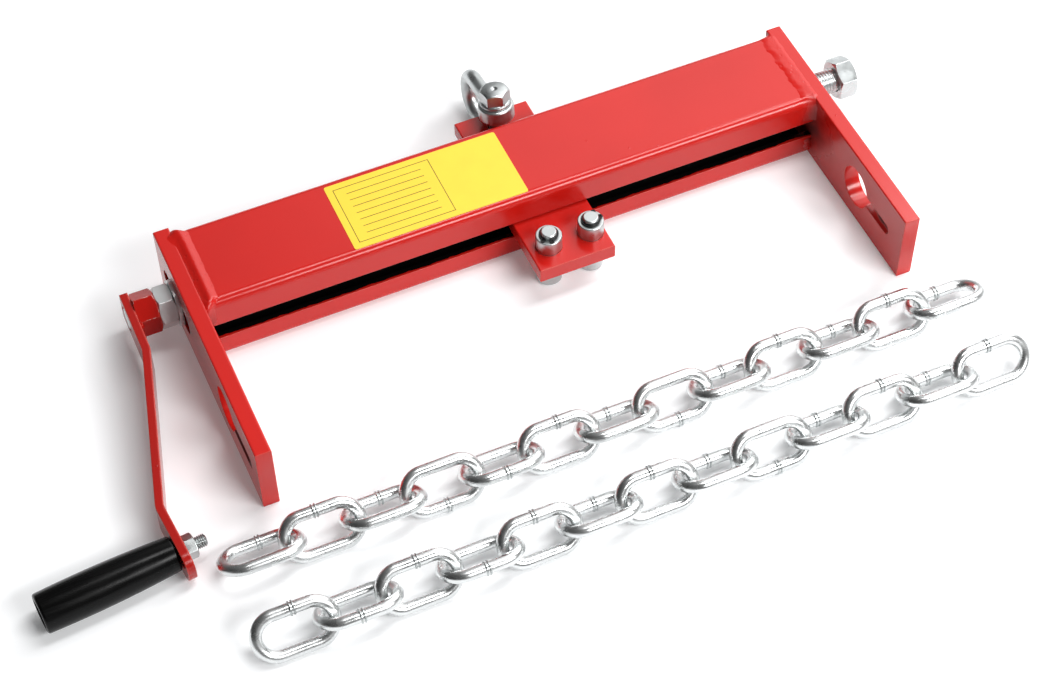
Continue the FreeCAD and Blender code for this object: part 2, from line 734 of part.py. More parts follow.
def traveler():
    """The nut on the screw, its two bars and the keepers through the front bar."""
    nut = hex_nut("traveler_nut", "nut_flats", "traveler_width", "screw_radius + running_gap")
    on_screw(nut, "traveler_place - traveler_width / 2")
    left, right = "keeper_offset - keeper_spacing / 2", "keeper_offset + keeper_spacing / 2"
    hole = "sleeve_radius + sleeve_fit"
    traveler_bar("traveler_front_bar", "-traveler_front_reach", "-nut_flats / 2",
                 [(left, "-keeper_place", hole), (right, "-keeper_place", hole)])
    traveler_bar("traveler_rear_bar", "nut_flats / 2", "traveler_rear_reach",
                 [("0", "shackle_place", "shackle_hole_radius")])
    for side, x in (("left", left), ("right", right)):
        keeper_sleeve(f"keeper_sleeve_{side}", x)
        keeper_core(f"keeper_core_{side}", x)
        keeper_clip(f"keeper_clip_{side}", x, f"{side}_clip_angle")


def draw_bow_spine(sketch):
    """The bow's middle line: two legs and a half circle between them."""
    leg, end = "shackle_leg", "shackle_bend"
    circle = Part.Circle(spot(end, "0"), Z_AXIS, value(leg))
    upper = sketch.addGeometry(Part.LineSegment(spot("0", leg), spot(end, leg)))
    lower = sketch.addGeometry(Part.LineSegment(spot("0", f"-{leg}"), spot(end, f"-{leg}")))
    bend = sketch.addGeometry(Part.ArcOfCircle(circle, -math.pi / 2, math.pi / 2))
    sketch.addConstraint(Sketcher.Constraint("Tangent", upper, 2, bend, 2))
    sketch.addConstraint(Sketcher.Constraint("Tangent", lower, 2, bend, 1))
    pin(sketch, upper, 1, "0", "shackle_leg")
    sketch.addConstraint(Sketcher.Constraint("Horizontal", upper))
    pin(sketch, bend, 3, "shackle_bend", "0")
    bind(sketch, "DistanceX", -1, 1, lower, 1, size="0")


def on_shackle(body):
    """Put a piece on the shackle, which leans back on the rear bar."""
    place(body, "traveler_place", "shackle_place + shackle_lift * sin(shackle_tilt)",
          "screw_height + shackle_lift * cos(shackle_tilt)", angle="-shackle_tilt")


def shackle_bow():
    """A round bar bent to a U, with an eye at the end of each leg."""
    body = new_body("shackle_bow")
    for name, low in (("Upper", "shackle_jaw / 2"), ("Lower", "-shackle_ear_top")):
        ear = new_sketch(body, f"Bow{name}Ear", "XY_Plane", offset=low)
        draw_circle(ear, "0", "0", "shackle_ear_radius")
        pad(body, ear, "shackle_body")
    round_edges(body, lambda edge: edge.Closed, "shackle_ear_round")
    spine = new_sketch(body, "BowSpine", "YZ_Plane")
    draw_bow_spine(spine)
    section = new_sketch(body, "BowSection", "XZ_Plane")
    draw_circle(section, "0", "shackle_leg", "shackle_body / 2")
    sweep(body, section, spine)
    hole = new_sketch(body, "BowPinHole", "XY_Plane")
    draw_circle(hole, "0", "0", "shackle_pin_radius + thread_gap")
    cut_through(body, hole)
    on_shackle(body)


def shackle_pin():
    """The pin with a collar and a hexagon head above the upper eye."""
    body = new_body("shackle_pin")
    for name, low, radius, height in (
            ("Shank", "-shackle_ear_top", "shackle_pin_radius", "2 * shackle_ear_top"),
            ("Collar", "shackle_ear_top", "shackle_collar_radius", "shackle_collar_height")):
        disc = new_sketch(body, f"Pin{name}", "XY_Plane", offset=low)
        draw_circle(disc, "0", "0", radius)
        pad(body, disc, height)
    foot = "(shackle_ear_top + shackle_collar_height)"
    head = new_sketch(body, "PinHead", "XY_Plane", offset=foot)
    draw_hexagon(head, "shackle_head_flats")
    pad(body, head, "shackle_head_height")
    chamfer = new_sketch(body, "PinChamfer", "XZ_Plane")
    top = f"{foot} + shackle_head_height"
    inner, outer = "shackle_head_flats / 2", "(shackle_head_flats / sqrt(3) + overrun)"
    draw_polygon(chamfer, [
        (inner, top), (outer, top), (outer, f"{top} - ({outer} - {inner}) * tan(nut_chamfer_angle)"),
    ])
    cut_round(body, chamfer, "V_Axis")
    on_shackle(body)


def draw_link_spine(sketch):
    """The middle line of a link: two half circles joined by two straights."""
    draw_slot(sketch, "-link_straight / 2", "link_straight / 2", "0", "link_spread / 2")


def chain_link(label, index, distance, tilt):
    """One welded link, turned about the chain's line, a step further along the chain."""
    body = new_body(label)
    spine = new_sketch(body, f"{label}Spine", "XY_Plane")
    draw_link_spine(spine)
    section = new_sketch(body, f"{label}Section", "YZ_Plane")
    draw_circle(section, "link_spread / 2", "0", "link_wire / 2")
    sweep(body, section, spine)
    place(body, f"link_length / 2 - chain_left_end + {index} * link_step", f"-({distance})", "chain_height",
          angle=tilt)


def chain(name, distance, tilts):
    """A length of links that lean to one side and to the other in turn."""
    for index in range(LINKS_PER_CHAIN):
        chain_link(f"{name}_link_{index + 1:02d}", index, distance, tilts[index % len(tilts)])


def export():
    """Check every object, then write each sub-part to its own file."""
    doc.recompute()
    failed = [item.Label for item in doc.Objects if "Invalid" in item.State or "Error" in item.State]
    failed += [body.Label for body in nodes if body.Shape.isNull() or not body.Shape.isValid()]
    if failed:
        raise RuntimeError(f"Failed objects: {failed}")
    os.makedirs("parts", exist_ok=True)
    for body in nodes:
        body.Shape.exportStep(f"parts/{body.Label}.step")


fill_sheet()
frame()
crank()
traveler()
shackle_bow()
shackle_pin()
chain("chain_a", "chain_a_distance", ("narrow_tilt", "broad_tilt"))
chain("chain_b", "chain_b_distance", ("broad_tilt", "narrow_tilt"))
export()
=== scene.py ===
"""Finishes, threads, welds, chain links, decal and studio of the engine load leveler, as an add-on."""
import json
import math

import bpy
from bpy.props import FloatProperty, FloatVectorProperty, PointerProperty
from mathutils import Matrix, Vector


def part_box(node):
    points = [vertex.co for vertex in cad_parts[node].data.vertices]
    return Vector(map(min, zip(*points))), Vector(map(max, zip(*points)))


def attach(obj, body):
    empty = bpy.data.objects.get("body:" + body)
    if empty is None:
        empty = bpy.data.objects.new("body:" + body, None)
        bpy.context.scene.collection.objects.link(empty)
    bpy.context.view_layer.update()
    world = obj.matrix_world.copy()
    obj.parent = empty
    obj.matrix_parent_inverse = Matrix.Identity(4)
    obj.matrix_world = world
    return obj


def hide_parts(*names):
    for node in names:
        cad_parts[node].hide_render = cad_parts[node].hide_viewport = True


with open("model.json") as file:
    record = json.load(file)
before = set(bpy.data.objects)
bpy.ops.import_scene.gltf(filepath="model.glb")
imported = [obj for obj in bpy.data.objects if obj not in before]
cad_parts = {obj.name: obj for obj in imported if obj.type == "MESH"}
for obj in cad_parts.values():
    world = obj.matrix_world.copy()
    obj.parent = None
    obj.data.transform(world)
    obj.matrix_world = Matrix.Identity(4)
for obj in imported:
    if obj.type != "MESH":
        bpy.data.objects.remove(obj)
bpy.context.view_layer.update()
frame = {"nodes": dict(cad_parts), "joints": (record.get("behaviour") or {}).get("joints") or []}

bl_info = {
    "name": "Engine load leveler",
    "version": (1, 0, 0),
    "blender": (4, 5, 0),
    "location": "View3D > Sidebar > Leveler",
    "description": "Dresses the packed load leveler with its finishes, threads, welds, links and decal",
    "category": "Object",
}

NODES = frame["nodes"]
JOINTS = {joint["name"]: joint for joint in frame["joints"]}
CHAINS = ("chain_a", "chain_b")
LINKS = 13
# Links whose weld lies on the front leg
FRONT_WELDS = {"chain_a": (4, 5, 8), "chain_b": (2, 4, 9)}
MM = 0.001
FULL_TURN = 2 * math.pi
X_AXIS = Vector((1, 0, 0))
MERGE_WITHIN = 0.001 * MM
LUMP_SPACING = 5 * MM
# Edges that turn by less than this are shaded smooth
SMOOTH, WELD_SMOOTH = math.radians(35), math.radians(60)
# The share of the darker colour where it is strongest: round the slot's ends, and as painted shade deep in
# the keyhole's slot
DARKEST_SHARE = 0.9
FLOOR_SIZE = 12.0
FLOOR_GLOW = 0.14
# The camera's place, its turn in degrees, its lens and sensor, from a fit to the frame's straight edges
CAMERA_PLACE = (-0.36533, -0.88832, 1.10294)
CAMERA_TURN = (37.7535, 0.5171, -24.0237)
CAMERA_LENS, CAMERA_SENSOR = 78.663, 36.0
# The direction of the surround's glow at the right rear
REAR_GLOW = (0.6, 0.55, 0.58)

COORDINATES = "ShaderNodeTexCoord"
AXES = "ShaderNodeSeparateXYZ"
VECTORS = "ShaderNodeVectorMath"
NOISE = "ShaderNodeTexNoise"
CELLS = "ShaderNodeTexVoronoi"
RANGE = "ShaderNodeMapRange"
MATH = "ShaderNodeMath"
BUMP = "ShaderNodeBump"
BEVEL = "ShaderNodeBevel"
MIX = "ShaderNodeMix"
MIX_COLOURS = {"data_type": "RGBA"}
# Where a Mix node has its colours
SHARE, ONE, OTHER, MIXED = 0, 6, 7, 2
TIMES = {"operation": "MULTIPLY"}
PLUS = {"operation": "ADD"}
TIMES_PLUS = {"operation": "MULTIPLY_ADD"}
UNSIGNED = {"operation": "ABSOLUTE"}
UNDER = {"operation": "LESS_THAN"}
OVER = {"operation": "GREATER_THAN"}
EASED = {"interpolation_type": "SMOOTHSTEP"}
BEVEL_RAYS = {"samples": 6}


def linear(code):
    """The linear colour of an sRGB hex code."""
    shares = [int(code[start:start + 2], 16) / 255 for start in (1, 3, 5)]
    return tuple(share / 12.92 if share <= 0.04045 else ((share + 0.055) / 1.055) ** 2.4 for share in shares)


def length(name, description, millimetres):
    """A length property with its default in millimetres."""
    return FloatProperty(name=name, description=description, default=millimetres * MM, min=0.0,
                         unit="LENGTH", precision=5)


def angle(name, description, degrees):
    """An angle property with its default in degrees."""
    return FloatProperty(name=name, description=description, default=math.radians(degrees), subtype="ANGLE")


def colour(name, description, code):
    """A colour property with its default as an sRGB hex code."""
    return FloatVectorProperty(name=name, description=description, default=linear(code), min=0.0, max=1.0,
                               size=3, subtype="COLOR")


class LevelerSizes(bpy.types.PropertyGroup):
    """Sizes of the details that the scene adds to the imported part."""
    screw_pitch: length("Screw pitch", "Distance between the screw's threads", 2)
    screw_thread_depth: length("Screw thread depth", "Height of the screw's threads", 1.2)
    bolt_radius: length("Bolt radius", "Radius of the grip bolt", 4)
    bolt_pitch: length("Bolt pitch", "Distance between the grip bolt's threads", 1.25)
    bolt_thread_depth: length("Bolt thread depth", "Height of the grip bolt's threads", 0.75)
    bolt_head_radius: length("Bolt head radius", "Radius of the grip bolt's head", 6.5)
    bolt_head_height: length("Bolt head height", "Height of the grip bolt's head", 5)
    bolt_head_place: length("Bolt head place", "Distance of the head's outer face from the arm", 80.1)
    bolt_end_place: length("Bolt end place", "Distance of the bolt's end from the middle of the arm", 16)
    arm_thickness: length("Arm thickness", "Thickness of the crank arm", 5)
    channel_wall: length("Channel wall", "Thickness of the bent channels", 4.5)
    channel_bend: length("Channel bend", "Outer radius of the channels' bends", 5.5)
    slot_lip: length("Slot lip", "Width of clean paint left on the slot's edges", 1.5)
    # The plates grow darker towards the slot's ends within this distance
    darkening_reach: length("Smear reach", "Distance from the slot's end at which the plates are clean", 42)
    # The next three place the painted shade deep in the keyhole's slot
    keyhole_place: length("Keyhole place", "Distance of the keyhole slot's dirt from the plate's front", 28.5)
    keyhole_reach: length("Keyhole reach", "How far that dirt runs along the slot from its middle", 16)
    keyhole_side: length("Keyhole side", "How far that dirt runs up and down from the slot's middle", 4.6)
    weld_reach: length("Weld reach", "Width of a weld on the upper channel", 9)
    weld_crown: length("Weld crown", "Height of a weld over the upper channel", 1.9)
    weld_fillet: length("Weld fillet", "Height of a weld in the corner of flange and plate", 4.5)
    weld_sink: length("Weld sink", "Depth of a weld's rim under the painted surface", 0.35)
    weld_wall: length("Weld wall", "Thickness of a weld's sheet on the upper channel", 1.5)
    bead_radius: length("Bead radius", "Radius of a bead's round back on the lower channel", 4.5)
    bead_depth: length("Bead depth", "Depth of a bead's centre under the painted surface", 3.2)
    hub_bead_radius: length("Hub bead radius", "Radius of the bead between the hub nut and the arm", 2.4)
    flash_width: length("Flash width", "Width of the weld flash round a chain link", 4.2)
    flash_stand: length("Flash stand", "Height of the weld flash over the link's wire", 0.7)
    flash_stray: length("Flash stray", "How far a weld may sit from the middle of its leg", 1.5)
    link_wire: length("Link wire", "Thickness of the chain's wire", 7.4)
    link_inner_length: length("Link inner length", "Inner length of a chain link", 38)
    link_inner_width: length("Link inner width", "Inner width of a chain link", 16.7)
    pin_lift: length("Pin lift", "Distance of the shackle's middle over the screw's axis", 2.5)
    pin_radius: length("Pin radius", "Radius of the shackle pin's shank", 5.5)
    pin_half: length("Pin half", "Distance of the shackle's ears' outer faces from its middle", 20)
    pin_collar_radius: length("Pin collar radius", "Radius of the collar under the pin's head", 10)
    pin_collar_height: length("Pin collar height", "Height of the collar under the pin's head", 3)
    pin_head_flats: length("Pin head flats", "Width across the flats of the pin's head", 17)
    pin_head_height: length("Pin head height", "Height of the pin's head", 8.3)
    pin_dimple: length("Pin dimple", "Radius of the dimple in the pin's head", 2.4)
    decal_left: length("Decal left", "Distance of the decal's left edge from the middle of the frame", 106)
    decal_width: length("Decal width", "Length of the decal along the frame", 113)
    decal_depth: length("Decal depth", "Length of the decal across the frame", 54)
    decal_corner: length("Decal corner", "Radius of the decal's corners", 1.5)
    decal_thickness: length("Decal thickness", "Thickness of the vinyl", 0.15)
    rule_width: length("Rule width", "Width of the decal's thin lines", 0.45)
    edge_round: length("Edge round", "Radius at which plated and moulded edges catch the light", 0.7)
    pin_tilt: angle("Pin tilt", "Lean of the shackle's pin to the rear", 10)
    broad_tilt: angle("Broad tilt", "Lean of the links that show their width", 50)
    narrow_tilt: angle("Narrow tilt", "Lean of the links between them, the other way", 28)


class LevelerColours(bpy.types.PropertyGroup):
    """Colours of the finishes."""
    red: colour("Red", "Enamel of the frame, traveler and crank", "#CA1B14")
    # Painted shade: a darker copy of the red for the crank's arm, hub nut and hub weld
    red_painted_shade: colour("Shaded red", "Enamel of the crank's arm and hub", "#A9150E")
    # Painted highlight: a paler red along the edges
    red_edge_highlight: colour("Thin red", "Enamel where it draws thin over an edge", "#EE6A5C")
    bare: colour("Bare", "Primer where the enamel has chipped", "#DCCFCB")
    # Darker round the channels' slot ends, and painted shade deep in the keyhole's slot
    slot_darkening: colour("Grime", "Dirt rubbed into the enamel", "#2B0A08")
    zinc: colour("Zinc", "Plating of nuts, keepers, bolt and shackle", "#C3C7C7")
    chain: colour("Chain", "Bright plating of the chain", "#E4E6E6")
    # Black grease, also painted as shade inside the channels and on the screw there
    grease: colour("Grease", "Black grease in the slot and on the screw", "#080707")
    oxide: colour("Oxide", "Black oxide of the spring clips", "#141415")
    grip: colour("Grip", "Black plastic of the grip", "#030303")
    vinyl: colour("Vinyl", "Yellow of the decal", "#ECC93A")
    rule: colour("Rule", "Thin dark lines of the decal", "#4A3F12")
    floor: colour("Floor", "White of the studio floor", "#F3F4F5")


def sizes():
    """The scene's sizes."""
    return bpy.context.scene.leveler_sizes


def tint(name, strength=1.0):
    """One of the scene's colours, made lighter or darker, with full alpha."""
    shares = getattr(bpy.context.scene.leveler_colours, name)
    return (*(min(1.0, share * strength) for share in shares), 1.0)


def per(millimetres):
    """The scale of a pattern whose features are this many millimetres apart."""
    return 1 / (millimetres * MM)


def add(tree, kind, settings=None, inputs=None, output=0):
    """Add a node, set its properties, set or link its inputs, and give one of its outputs."""
    node = tree.nodes.new(kind)
    for name, setting in (settings or {}).items():
        setattr(node, name, setting)
    for key, source in (inputs or {}).items():
        if isinstance(source, bpy.types.NodeSocket):
            tree.links.new(source, node.inputs[key])
        else:
            node.inputs[key].default_value = source
    return node.outputs[output] if len(node.outputs) else None


def new_material(name):
    """An empty material and its tree."""
    material = bpy.data.materials.new(name)
    material.use_nodes = True
    material.node_tree.nodes.clear()
    return material, material.node_tree


def surface(tree, inputs):
    """Close a material with a principled surface."""
    shader = add(tree, "ShaderNodeBsdfPrincipled", None, inputs)
    add(tree, "ShaderNodeOutputMaterial", None, {"Surface": shader})


def grease_and_shade_share(tree, place):
    """One inside the channels and over most of the slot's edges, where black is painted for grease and for
    the shade inside, else nought.
    """
    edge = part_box("lower_channel")[1].y - sizes().slot_lip
    # A little under the wall's thickness, so that the inner faces count as inside
    wall = sizes().channel_wall * 0.98
    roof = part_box("upper_channel")[1].z - wall
    y = add(tree, AXES, None, {0: place}, "Y")
    z = add(tree, AXES, None, {0: place}, "Z")
    smear = add(tree, NOISE, None, {"Vector": place, "Scale": per(7), "Detail": 3.0})
    across = add(tree, MATH, UNSIGNED, {0: y})
    ragged = add(tree, MATH, TIMES_PLUS, {0: smear, 1: 2 * sizes().slot_lip, 2: across})
    within = add(tree, MATH, UNDER, {0: ragged, 1: edge + sizes().slot_lip})
    above = add(tree, MATH, OVER, {0: z, 1: wall})
    below = add(tree, MATH, UNDER, {0: z, 1: roof})
    between = add(tree, MATH, TIMES, {0: above, 1: below})
    return add(tree, MATH, TIMES, {0: within, 1: between})


def edge_share(tree, rounded):
    """One along the edges, where a paler red is painted as a highlight and where chips fall."""
    flat = add(tree, "ShaderNodeNewGeometry", None, None, "Normal")
    facing = add(tree, VECTORS, {"operation": "DOT_PRODUCT"}, {0: rounded, 1: flat}, "Value")
    return add(tree, RANGE, None, {"Value": facing, "From Min": 0.99, "From Max": 0.85})


def slot_darkening_share(tree, place):
    """High on the plates beside the channels' slot, where they grow darker round its ends, and deep in the
    keyhole's slot, where shade is painted.
    """
    size = sizes()
    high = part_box("upper_channel")[1]
    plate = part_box("right_end_plate")[0]
    middle = high.z / 2
    patches = add(tree, NOISE, None, {"Vector": place, "Scale": per(14), "Detail": 5.0})
    x = add(tree, AXES, None, {0: place}, "X")
    outward = add(tree, MATH, UNSIGNED, {0: x})

    # Darker round the slot's ends, on the plates' inner faces and the welds close to them
    thick, wander, lead_in = 6 * MM, 24 * MM, 9 * MM
    across = add(tree, VECTORS, TIMES, {0: place, 1: (0.0, 1.0, 1.0)})
    folded = add(tree, VECTORS, UNSIGNED, {0: across})
    away = add(tree, VECTORS, {"operation": "DISTANCE"}, {0: folded, 1: (0.0, high.y, middle)}, "Value")
    ragged = add(tree, MATH, TIMES_PLUS, {0: patches, 1: wander, 2: away})
    near = add(tree, RANGE, EASED, {"Value": ragged, "From Min": thick, "From Max": size.darkening_reach,
                                    "To Min": DARKEST_SHARE, "To Max": 0.0})
    inner = add(tree, MATH, UNDER, {0: outward, 1: plate.x + MM})
    close = add(tree, RANGE, None,
                {"Value": outward, "From Min": plate.x - lead_in, "From Max": plate.x - MM})
    inner = add(tree, MATH, TIMES, {0: inner, 1: close})
    smear = add(tree, MATH, TIMES, {0: near, 1: inner})

    # Painted shade deep in the keyhole's slot, left out near the plate's inner face
    rim, filled, flakes = 5.5 * MM, 7 * MM, 6 * MM
    slot = add(tree, VECTORS, {"operation": "SUBTRACT"},
               {0: place, 1: (0.0, plate.y + size.keyhole_place, middle)})
    reach = add(tree, VECTORS, UNSIGNED, {0: slot})
    y = add(tree, AXES, None, {0: reach}, "Y")
    z = add(tree, AXES, None, {0: reach}, "Z")
    along = add(tree, MATH, UNDER, {0: y, 1: size.keyhole_reach})
    within = add(tree, MATH, UNDER, {0: z, 1: size.keyhole_side})
    keyhole_shade = add(tree, MATH, TIMES, {0: along, 1: within})
    flaked = add(tree, MATH, TIMES_PLUS, {0: patches, 1: flakes, 2: outward})
    deep = add(tree, RANGE, None, {"Value": flaked, "From Min": plate.x + rim,
                                   "From Max": plate.x + filled, "To Max": DARKEST_SHARE})
    keyhole_shade = add(tree, MATH, TIMES, {0: keyhole_shade, 1: deep})
    return add(tree, MATH, {"operation": "MAXIMUM"}, {0: smear, 1: keyhole_shade})


def red_enamel(name, shade="red", edge=0.7, greased=False, pitted=False, slot_darkened=False, chipped=False,
               gloss=1.45):
    """Sprayed alkyd enamel on mill steel: an even gloss red with a faint peel, a few nibs and paler edges
    painted as highlights.
    """
    material, tree = new_material(name)
    place = add(tree, COORDINATES, output="Object")
    rounded = add(tree, BEVEL, BEVEL_RAYS, {"Radius": edge * MM})
    drift = add(tree, NOISE, None, {"Vector": place, "Scale": per(70), "Detail": 2.0})
    paint = add(tree, MIX, MIX_COLOURS, {SHARE: drift, ONE: tint(shade), OTHER: tint(shade, 0.8)}, MIXED)
    # Paler along the edges in patches: a painted highlight
    edges = edge_share(tree, rounded)
    patches = add(tree, NOISE, None, {"Vector": place, "Scale": per(8), "Detail": 4.0})
    edge_highlight = add(tree, MATH, TIMES, {0: edges, 1: patches})
    paint = add(tree, MIX, MIX_COLOURS, {SHARE: edge_highlight, ONE: paint, OTHER: tint("red_edge_highlight")}, MIXED)
    rough = add(tree, RANGE, None, {"Value": drift, "To Min": 0.16, "To Max": 0.25})
    peel = add(tree, NOISE, None, {"Vector": place, "Scale": per(4), "Detail": 2.0})
    skin = add(tree, BUMP, None, {"Height": peel, "Strength": 0.12, "Distance": 0.08 * MM, "Normal": rounded})
    cells = add(tree, CELLS, None, {"Vector": place, "Scale": per(14)})
    nibs = add(tree, RANGE, None, {"Value": cells, "From Max": 0.05, "To Min": 1.0, "To Max": 0.0})
    skin = add(tree, BUMP, None, {"Height": nibs, "Strength": 0.8, "Distance": 0.35 * MM, "Normal": skin})
    if chipped:
        flakes = add(tree, NOISE, None, {"Vector": place, "Scale": per(3), "Detail": 4.0})
        chips = add(tree, RANGE, None, {"Value": flakes, "From Min": 0.53, "From Max": 0.58})
        chips = add(tree, MATH, TIMES, {0: chips, 1: edges})
        paint = add(tree, MIX, MIX_COLOURS, {SHARE: chips, ONE: paint, OTHER: tint("bare")}, MIXED)
    if pitted:
        holes = add(tree, CELLS, None, {"Vector": place, "Scale": per(3.5)})
        pits = add(tree, RANGE, None, {"Value": holes, "From Min": 0.12, "From Max": 0.26})
        skin = add(tree, BUMP, None, {"Height": pits, "Strength": 0.3, "Distance": 0.4 * MM, "Normal": skin})
    # Darker round the slot's ends, and painted shade deep in the keyhole's slot
    if slot_darkened:
        smear = slot_darkening_share(tree, place)
        paint = add(tree, MIX, MIX_COLOURS, {SHARE: smear, ONE: paint, OTHER: tint("slot_darkening")}, MIXED)
        dull = add(tree, MATH, TIMES, {0: smear, 1: 0.6})
        rough = add(tree, MATH, PLUS, {0: rough, 1: dull})
    # Black inside the channels, for grease and as painted shade
    if greased:
        grease = grease_and_shade_share(tree, place)
        paint = add(tree, MIX, MIX_COLOURS, {SHARE: grease, ONE: paint, OTHER: tint("grease")}, MIXED)
    surface(tree, {"Base Color": paint, "Roughness": rough, "IOR": gloss, "Normal": skin})
    return material


def zinc_plate(name, shade, roughness, grain, drawn=(1.0, 1.0, 1.0), tooth=0.08):
    """Electroplated zinc on steel: a cool silver, faintly clouded, with a fine tooth drawn out one way."""
    material, tree = new_material(name)
    place = add(tree, COORDINATES, output="Object")
    along = add(tree, "ShaderNodeMapping", None, {"Vector": place, "Scale": drawn})
    clouds = add(tree, NOISE, None, {"Vector": place, "Scale": per(9), "Detail": 4.0})
    scratch = add(tree, NOISE, None, {"Vector": along, "Scale": per(grain), "Detail": 3.0})
    metal = add(tree, MIX, MIX_COLOURS, {SHARE: clouds, ONE: tint(shade), OTHER: tint(shade, 0.85)}, MIXED)
    rough = add(tree, RANGE, None, {"Value": clouds, "From Min": 0.3, "From Max": 0.7,
                                    "To Min": roughness * 0.7, "To Max": roughness * 1.3})
    rounded = add(tree, BEVEL, BEVEL_RAYS, {"Radius": sizes().edge_round})
    skin = add(tree, BUMP, None,
               {"Height": scratch, "Strength": tooth, "Distance": 0.06 * MM, "Normal": rounded})
    surface(tree, {"Base Color": metal, "Metallic": 1.0, "Roughness": rough, "Normal": skin})
    return material


def greased_and_shaded_screw():
    """Zinc-plated thread, black between the plates for grease and as painted shade inside the channels, and
    clean at both ends.
    """
    material, tree = new_material("greased_screw_thread")
    place = add(tree, COORDINATES, output="Object")
    x = add(tree, AXES, None, {0: place}, "X")
    along = add(tree, MATH, UNSIGNED, {0: x})
    smear = add(tree, NOISE, None, {"Vector": place, "Scale": per(5), "Detail": 3.0})
    ragged, inside, outside = 6 * MM, 6 * MM, 4 * MM
    wander = add(tree, MATH, TIMES_PLUS, {0: smear, 1: ragged, 2: along})
    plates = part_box("right_end_plate")[1].x
    clean = add(tree, RANGE, None,
                {"Value": wander, "From Min": plates - inside, "From Max": plates + outside})
    metal = add(tree, MIX, MIX_COLOURS, {SHARE: clean, ONE: tint("grease"), OTHER: tint("zinc")}, MIXED)
    bright = add(tree, RANGE, None, {"Value": clean, "To Min": 0.2, "To Max": 1.0})
    surface(tree, {"Base Color": metal, "Metallic": bright, "Roughness": 0.32})
    return material


def black_oxide():
    """Spring steel with black oxide: almost black, with a dull sheen."""
    material, tree = new_material("black_oxide_spring_steel")
    place = add(tree, COORDINATES, output="Object")
    grain = add(tree, NOISE, None, {"Vector": place, "Scale": per(0.8), "Detail": 2.0})
    rough = add(tree, RANGE, None, {"Value": grain, "To Min": 0.3, "To Max": 0.5})
    surface(tree, {"Base Color": tint("oxide"), "Metallic": 0.4, "Roughness": rough})
    return material


def moulded_grip():
    """Moulded black vinyl: a deep black with a soft gloss, drag lines along it and a dusting of fine pits."""
    material, tree = new_material("moulded_black_vinyl")
    place = add(tree, COORDINATES, output="Object")
    stretched = add(tree, "ShaderNodeMapping", None, {"Vector": place, "Scale": (0.06, 1.0, 1.0)})
    drag = add(tree, NOISE, None, {"Vector": stretched, "Scale": per(2.2), "Detail": 3.0})
    pits = add(tree, NOISE, None, {"Vector": place, "Scale": per(0.7), "Detail": 2.0})
    rough = add(tree, RANGE, None,
                {"Value": drag, "From Min": 0.3, "From Max": 0.7, "To Min": 0.2, "To Max": 0.32})
    rounded = add(tree, BEVEL, BEVEL_RAYS, {"Radius": sizes().edge_round})
    lines = add(tree, BUMP, None, {"Height": drag, "Strength": 0.2, "Distance": 0.06 * MM, "Normal": rounded})
    skin = add(tree, BUMP, None, {"Height": pits, "Strength": 0.1, "Distance": 0.03 * MM, "Normal": lines})
    surface(tree, {"Base Color": tint("grip"), "Roughness": rough, "IOR": 1.25, "Normal": skin})
    return material


def printed_vinyl(name, shade):
    """Printed vinyl film: an even ink with a faint mottle and a satin gloss."""
    material, tree = new_material(name)
    place = add(tree, COORDINATES, output="Object")
    mottle = add(tree, NOISE, None, {"Vector": place, "Scale": per(12), "Detail": 3.0})
    film = add(tree, MIX, MIX_COLOURS, {SHARE: mottle, ONE: tint(shade), OTHER: tint(shade, 1.1)}, MIXED)
    rough = add(tree, RANGE, None, {"Value": mottle, "To Min": 0.35, "To Max": 0.5})
    surface(tree, {"Base Color": film, "Roughness": rough, "IOR": 1.45})
    return material


def deselect():
    """Leave nothing selected."""
    if bpy.context.mode != "OBJECT":
        bpy.ops.object.mode_set(mode="OBJECT")
    bpy.ops.object.select_all(action="DESELECT")


def take(piece):
    """Select one object alone."""
    deselect()
    piece.select_set(True)
    bpy.context.view_layer.objects.active = piece


def edit_all():
    """Go into edit mode with everything selected."""
    bpy.ops.object.mode_set(mode="EDIT")
    bpy.ops.mesh.select_all(action="SELECT")


def face_outwards():
    """Point every face outwards and leave edit mode."""
    bpy.ops.mesh.select_all(action="SELECT")
    bpy.ops.mesh.normals_make_consistent(inside=False)
    bpy.ops.object.mode_set(mode="OBJECT")


def apply_all(piece):
    """Apply the place and every modifier of a piece."""
    take(piece)
    bpy.ops.object.transform_apply(location=True, rotation=True, scale=True)
    for modifier in list(piece.modifiers):
        bpy.ops.object.modifier_apply(modifier=modifier.name)


def finish(piece, name, body, material, smooth=SMOOTH):
    """Name a piece, give it its finish and put it on its body."""
    apply_all(piece)
    piece.name = piece.data.name = name
    bpy.ops.object.shade_smooth_by_angle(angle=smooth)
    piece.data.materials.clear()
    piece.data.materials.append(material)
    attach(piece, body)
    return piece


def join(pieces):
    """Join pieces into the first of them."""
    deselect()
    for piece in pieces:
        piece.select_set(True)
    bpy.context.view_layer.objects.active = pieces[0]
    bpy.ops.object.join()
    return pieces[0]


def cover(names, material):
    """Give CAD nodes a finish."""
    for name in names:
        NODES[name].data.materials.clear()
        NODES[name].data.materials.append(material)


def draw_profile(points):
    """A line of edges through points, drawn by extruding one vertex."""
    deselect()
    bpy.ops.mesh.primitive_plane_add(size=MM, location=(0, 0, 0))
    line = bpy.context.object
    bpy.ops.object.mode_set(mode="EDIT")
    bpy.ops.mesh.merge(type="CENTER")
    bpy.ops.transform.translate(value=points[0])
    for start, end in zip(points, points[1:]):
        step = Vector(end) - Vector(start)
        bpy.ops.mesh.extrude_region_move(TRANSFORM_OT_translate={"value": step})
    bpy.ops.object.mode_set(mode="OBJECT")
    return line


def turn(points, steps):
    """A closed solid, turned about the X axis from a profile that starts and ends on it."""
    line = draw_profile(points)
    edit_all()
    bpy.ops.mesh.spin(steps=steps, angle=FULL_TURN, center=(0, 0, 0), axis=X_AXIS)
    bpy.ops.mesh.select_all(action="SELECT")
    bpy.ops.mesh.remove_doubles(threshold=MERGE_WITHIN)
    face_outwards()
    return line


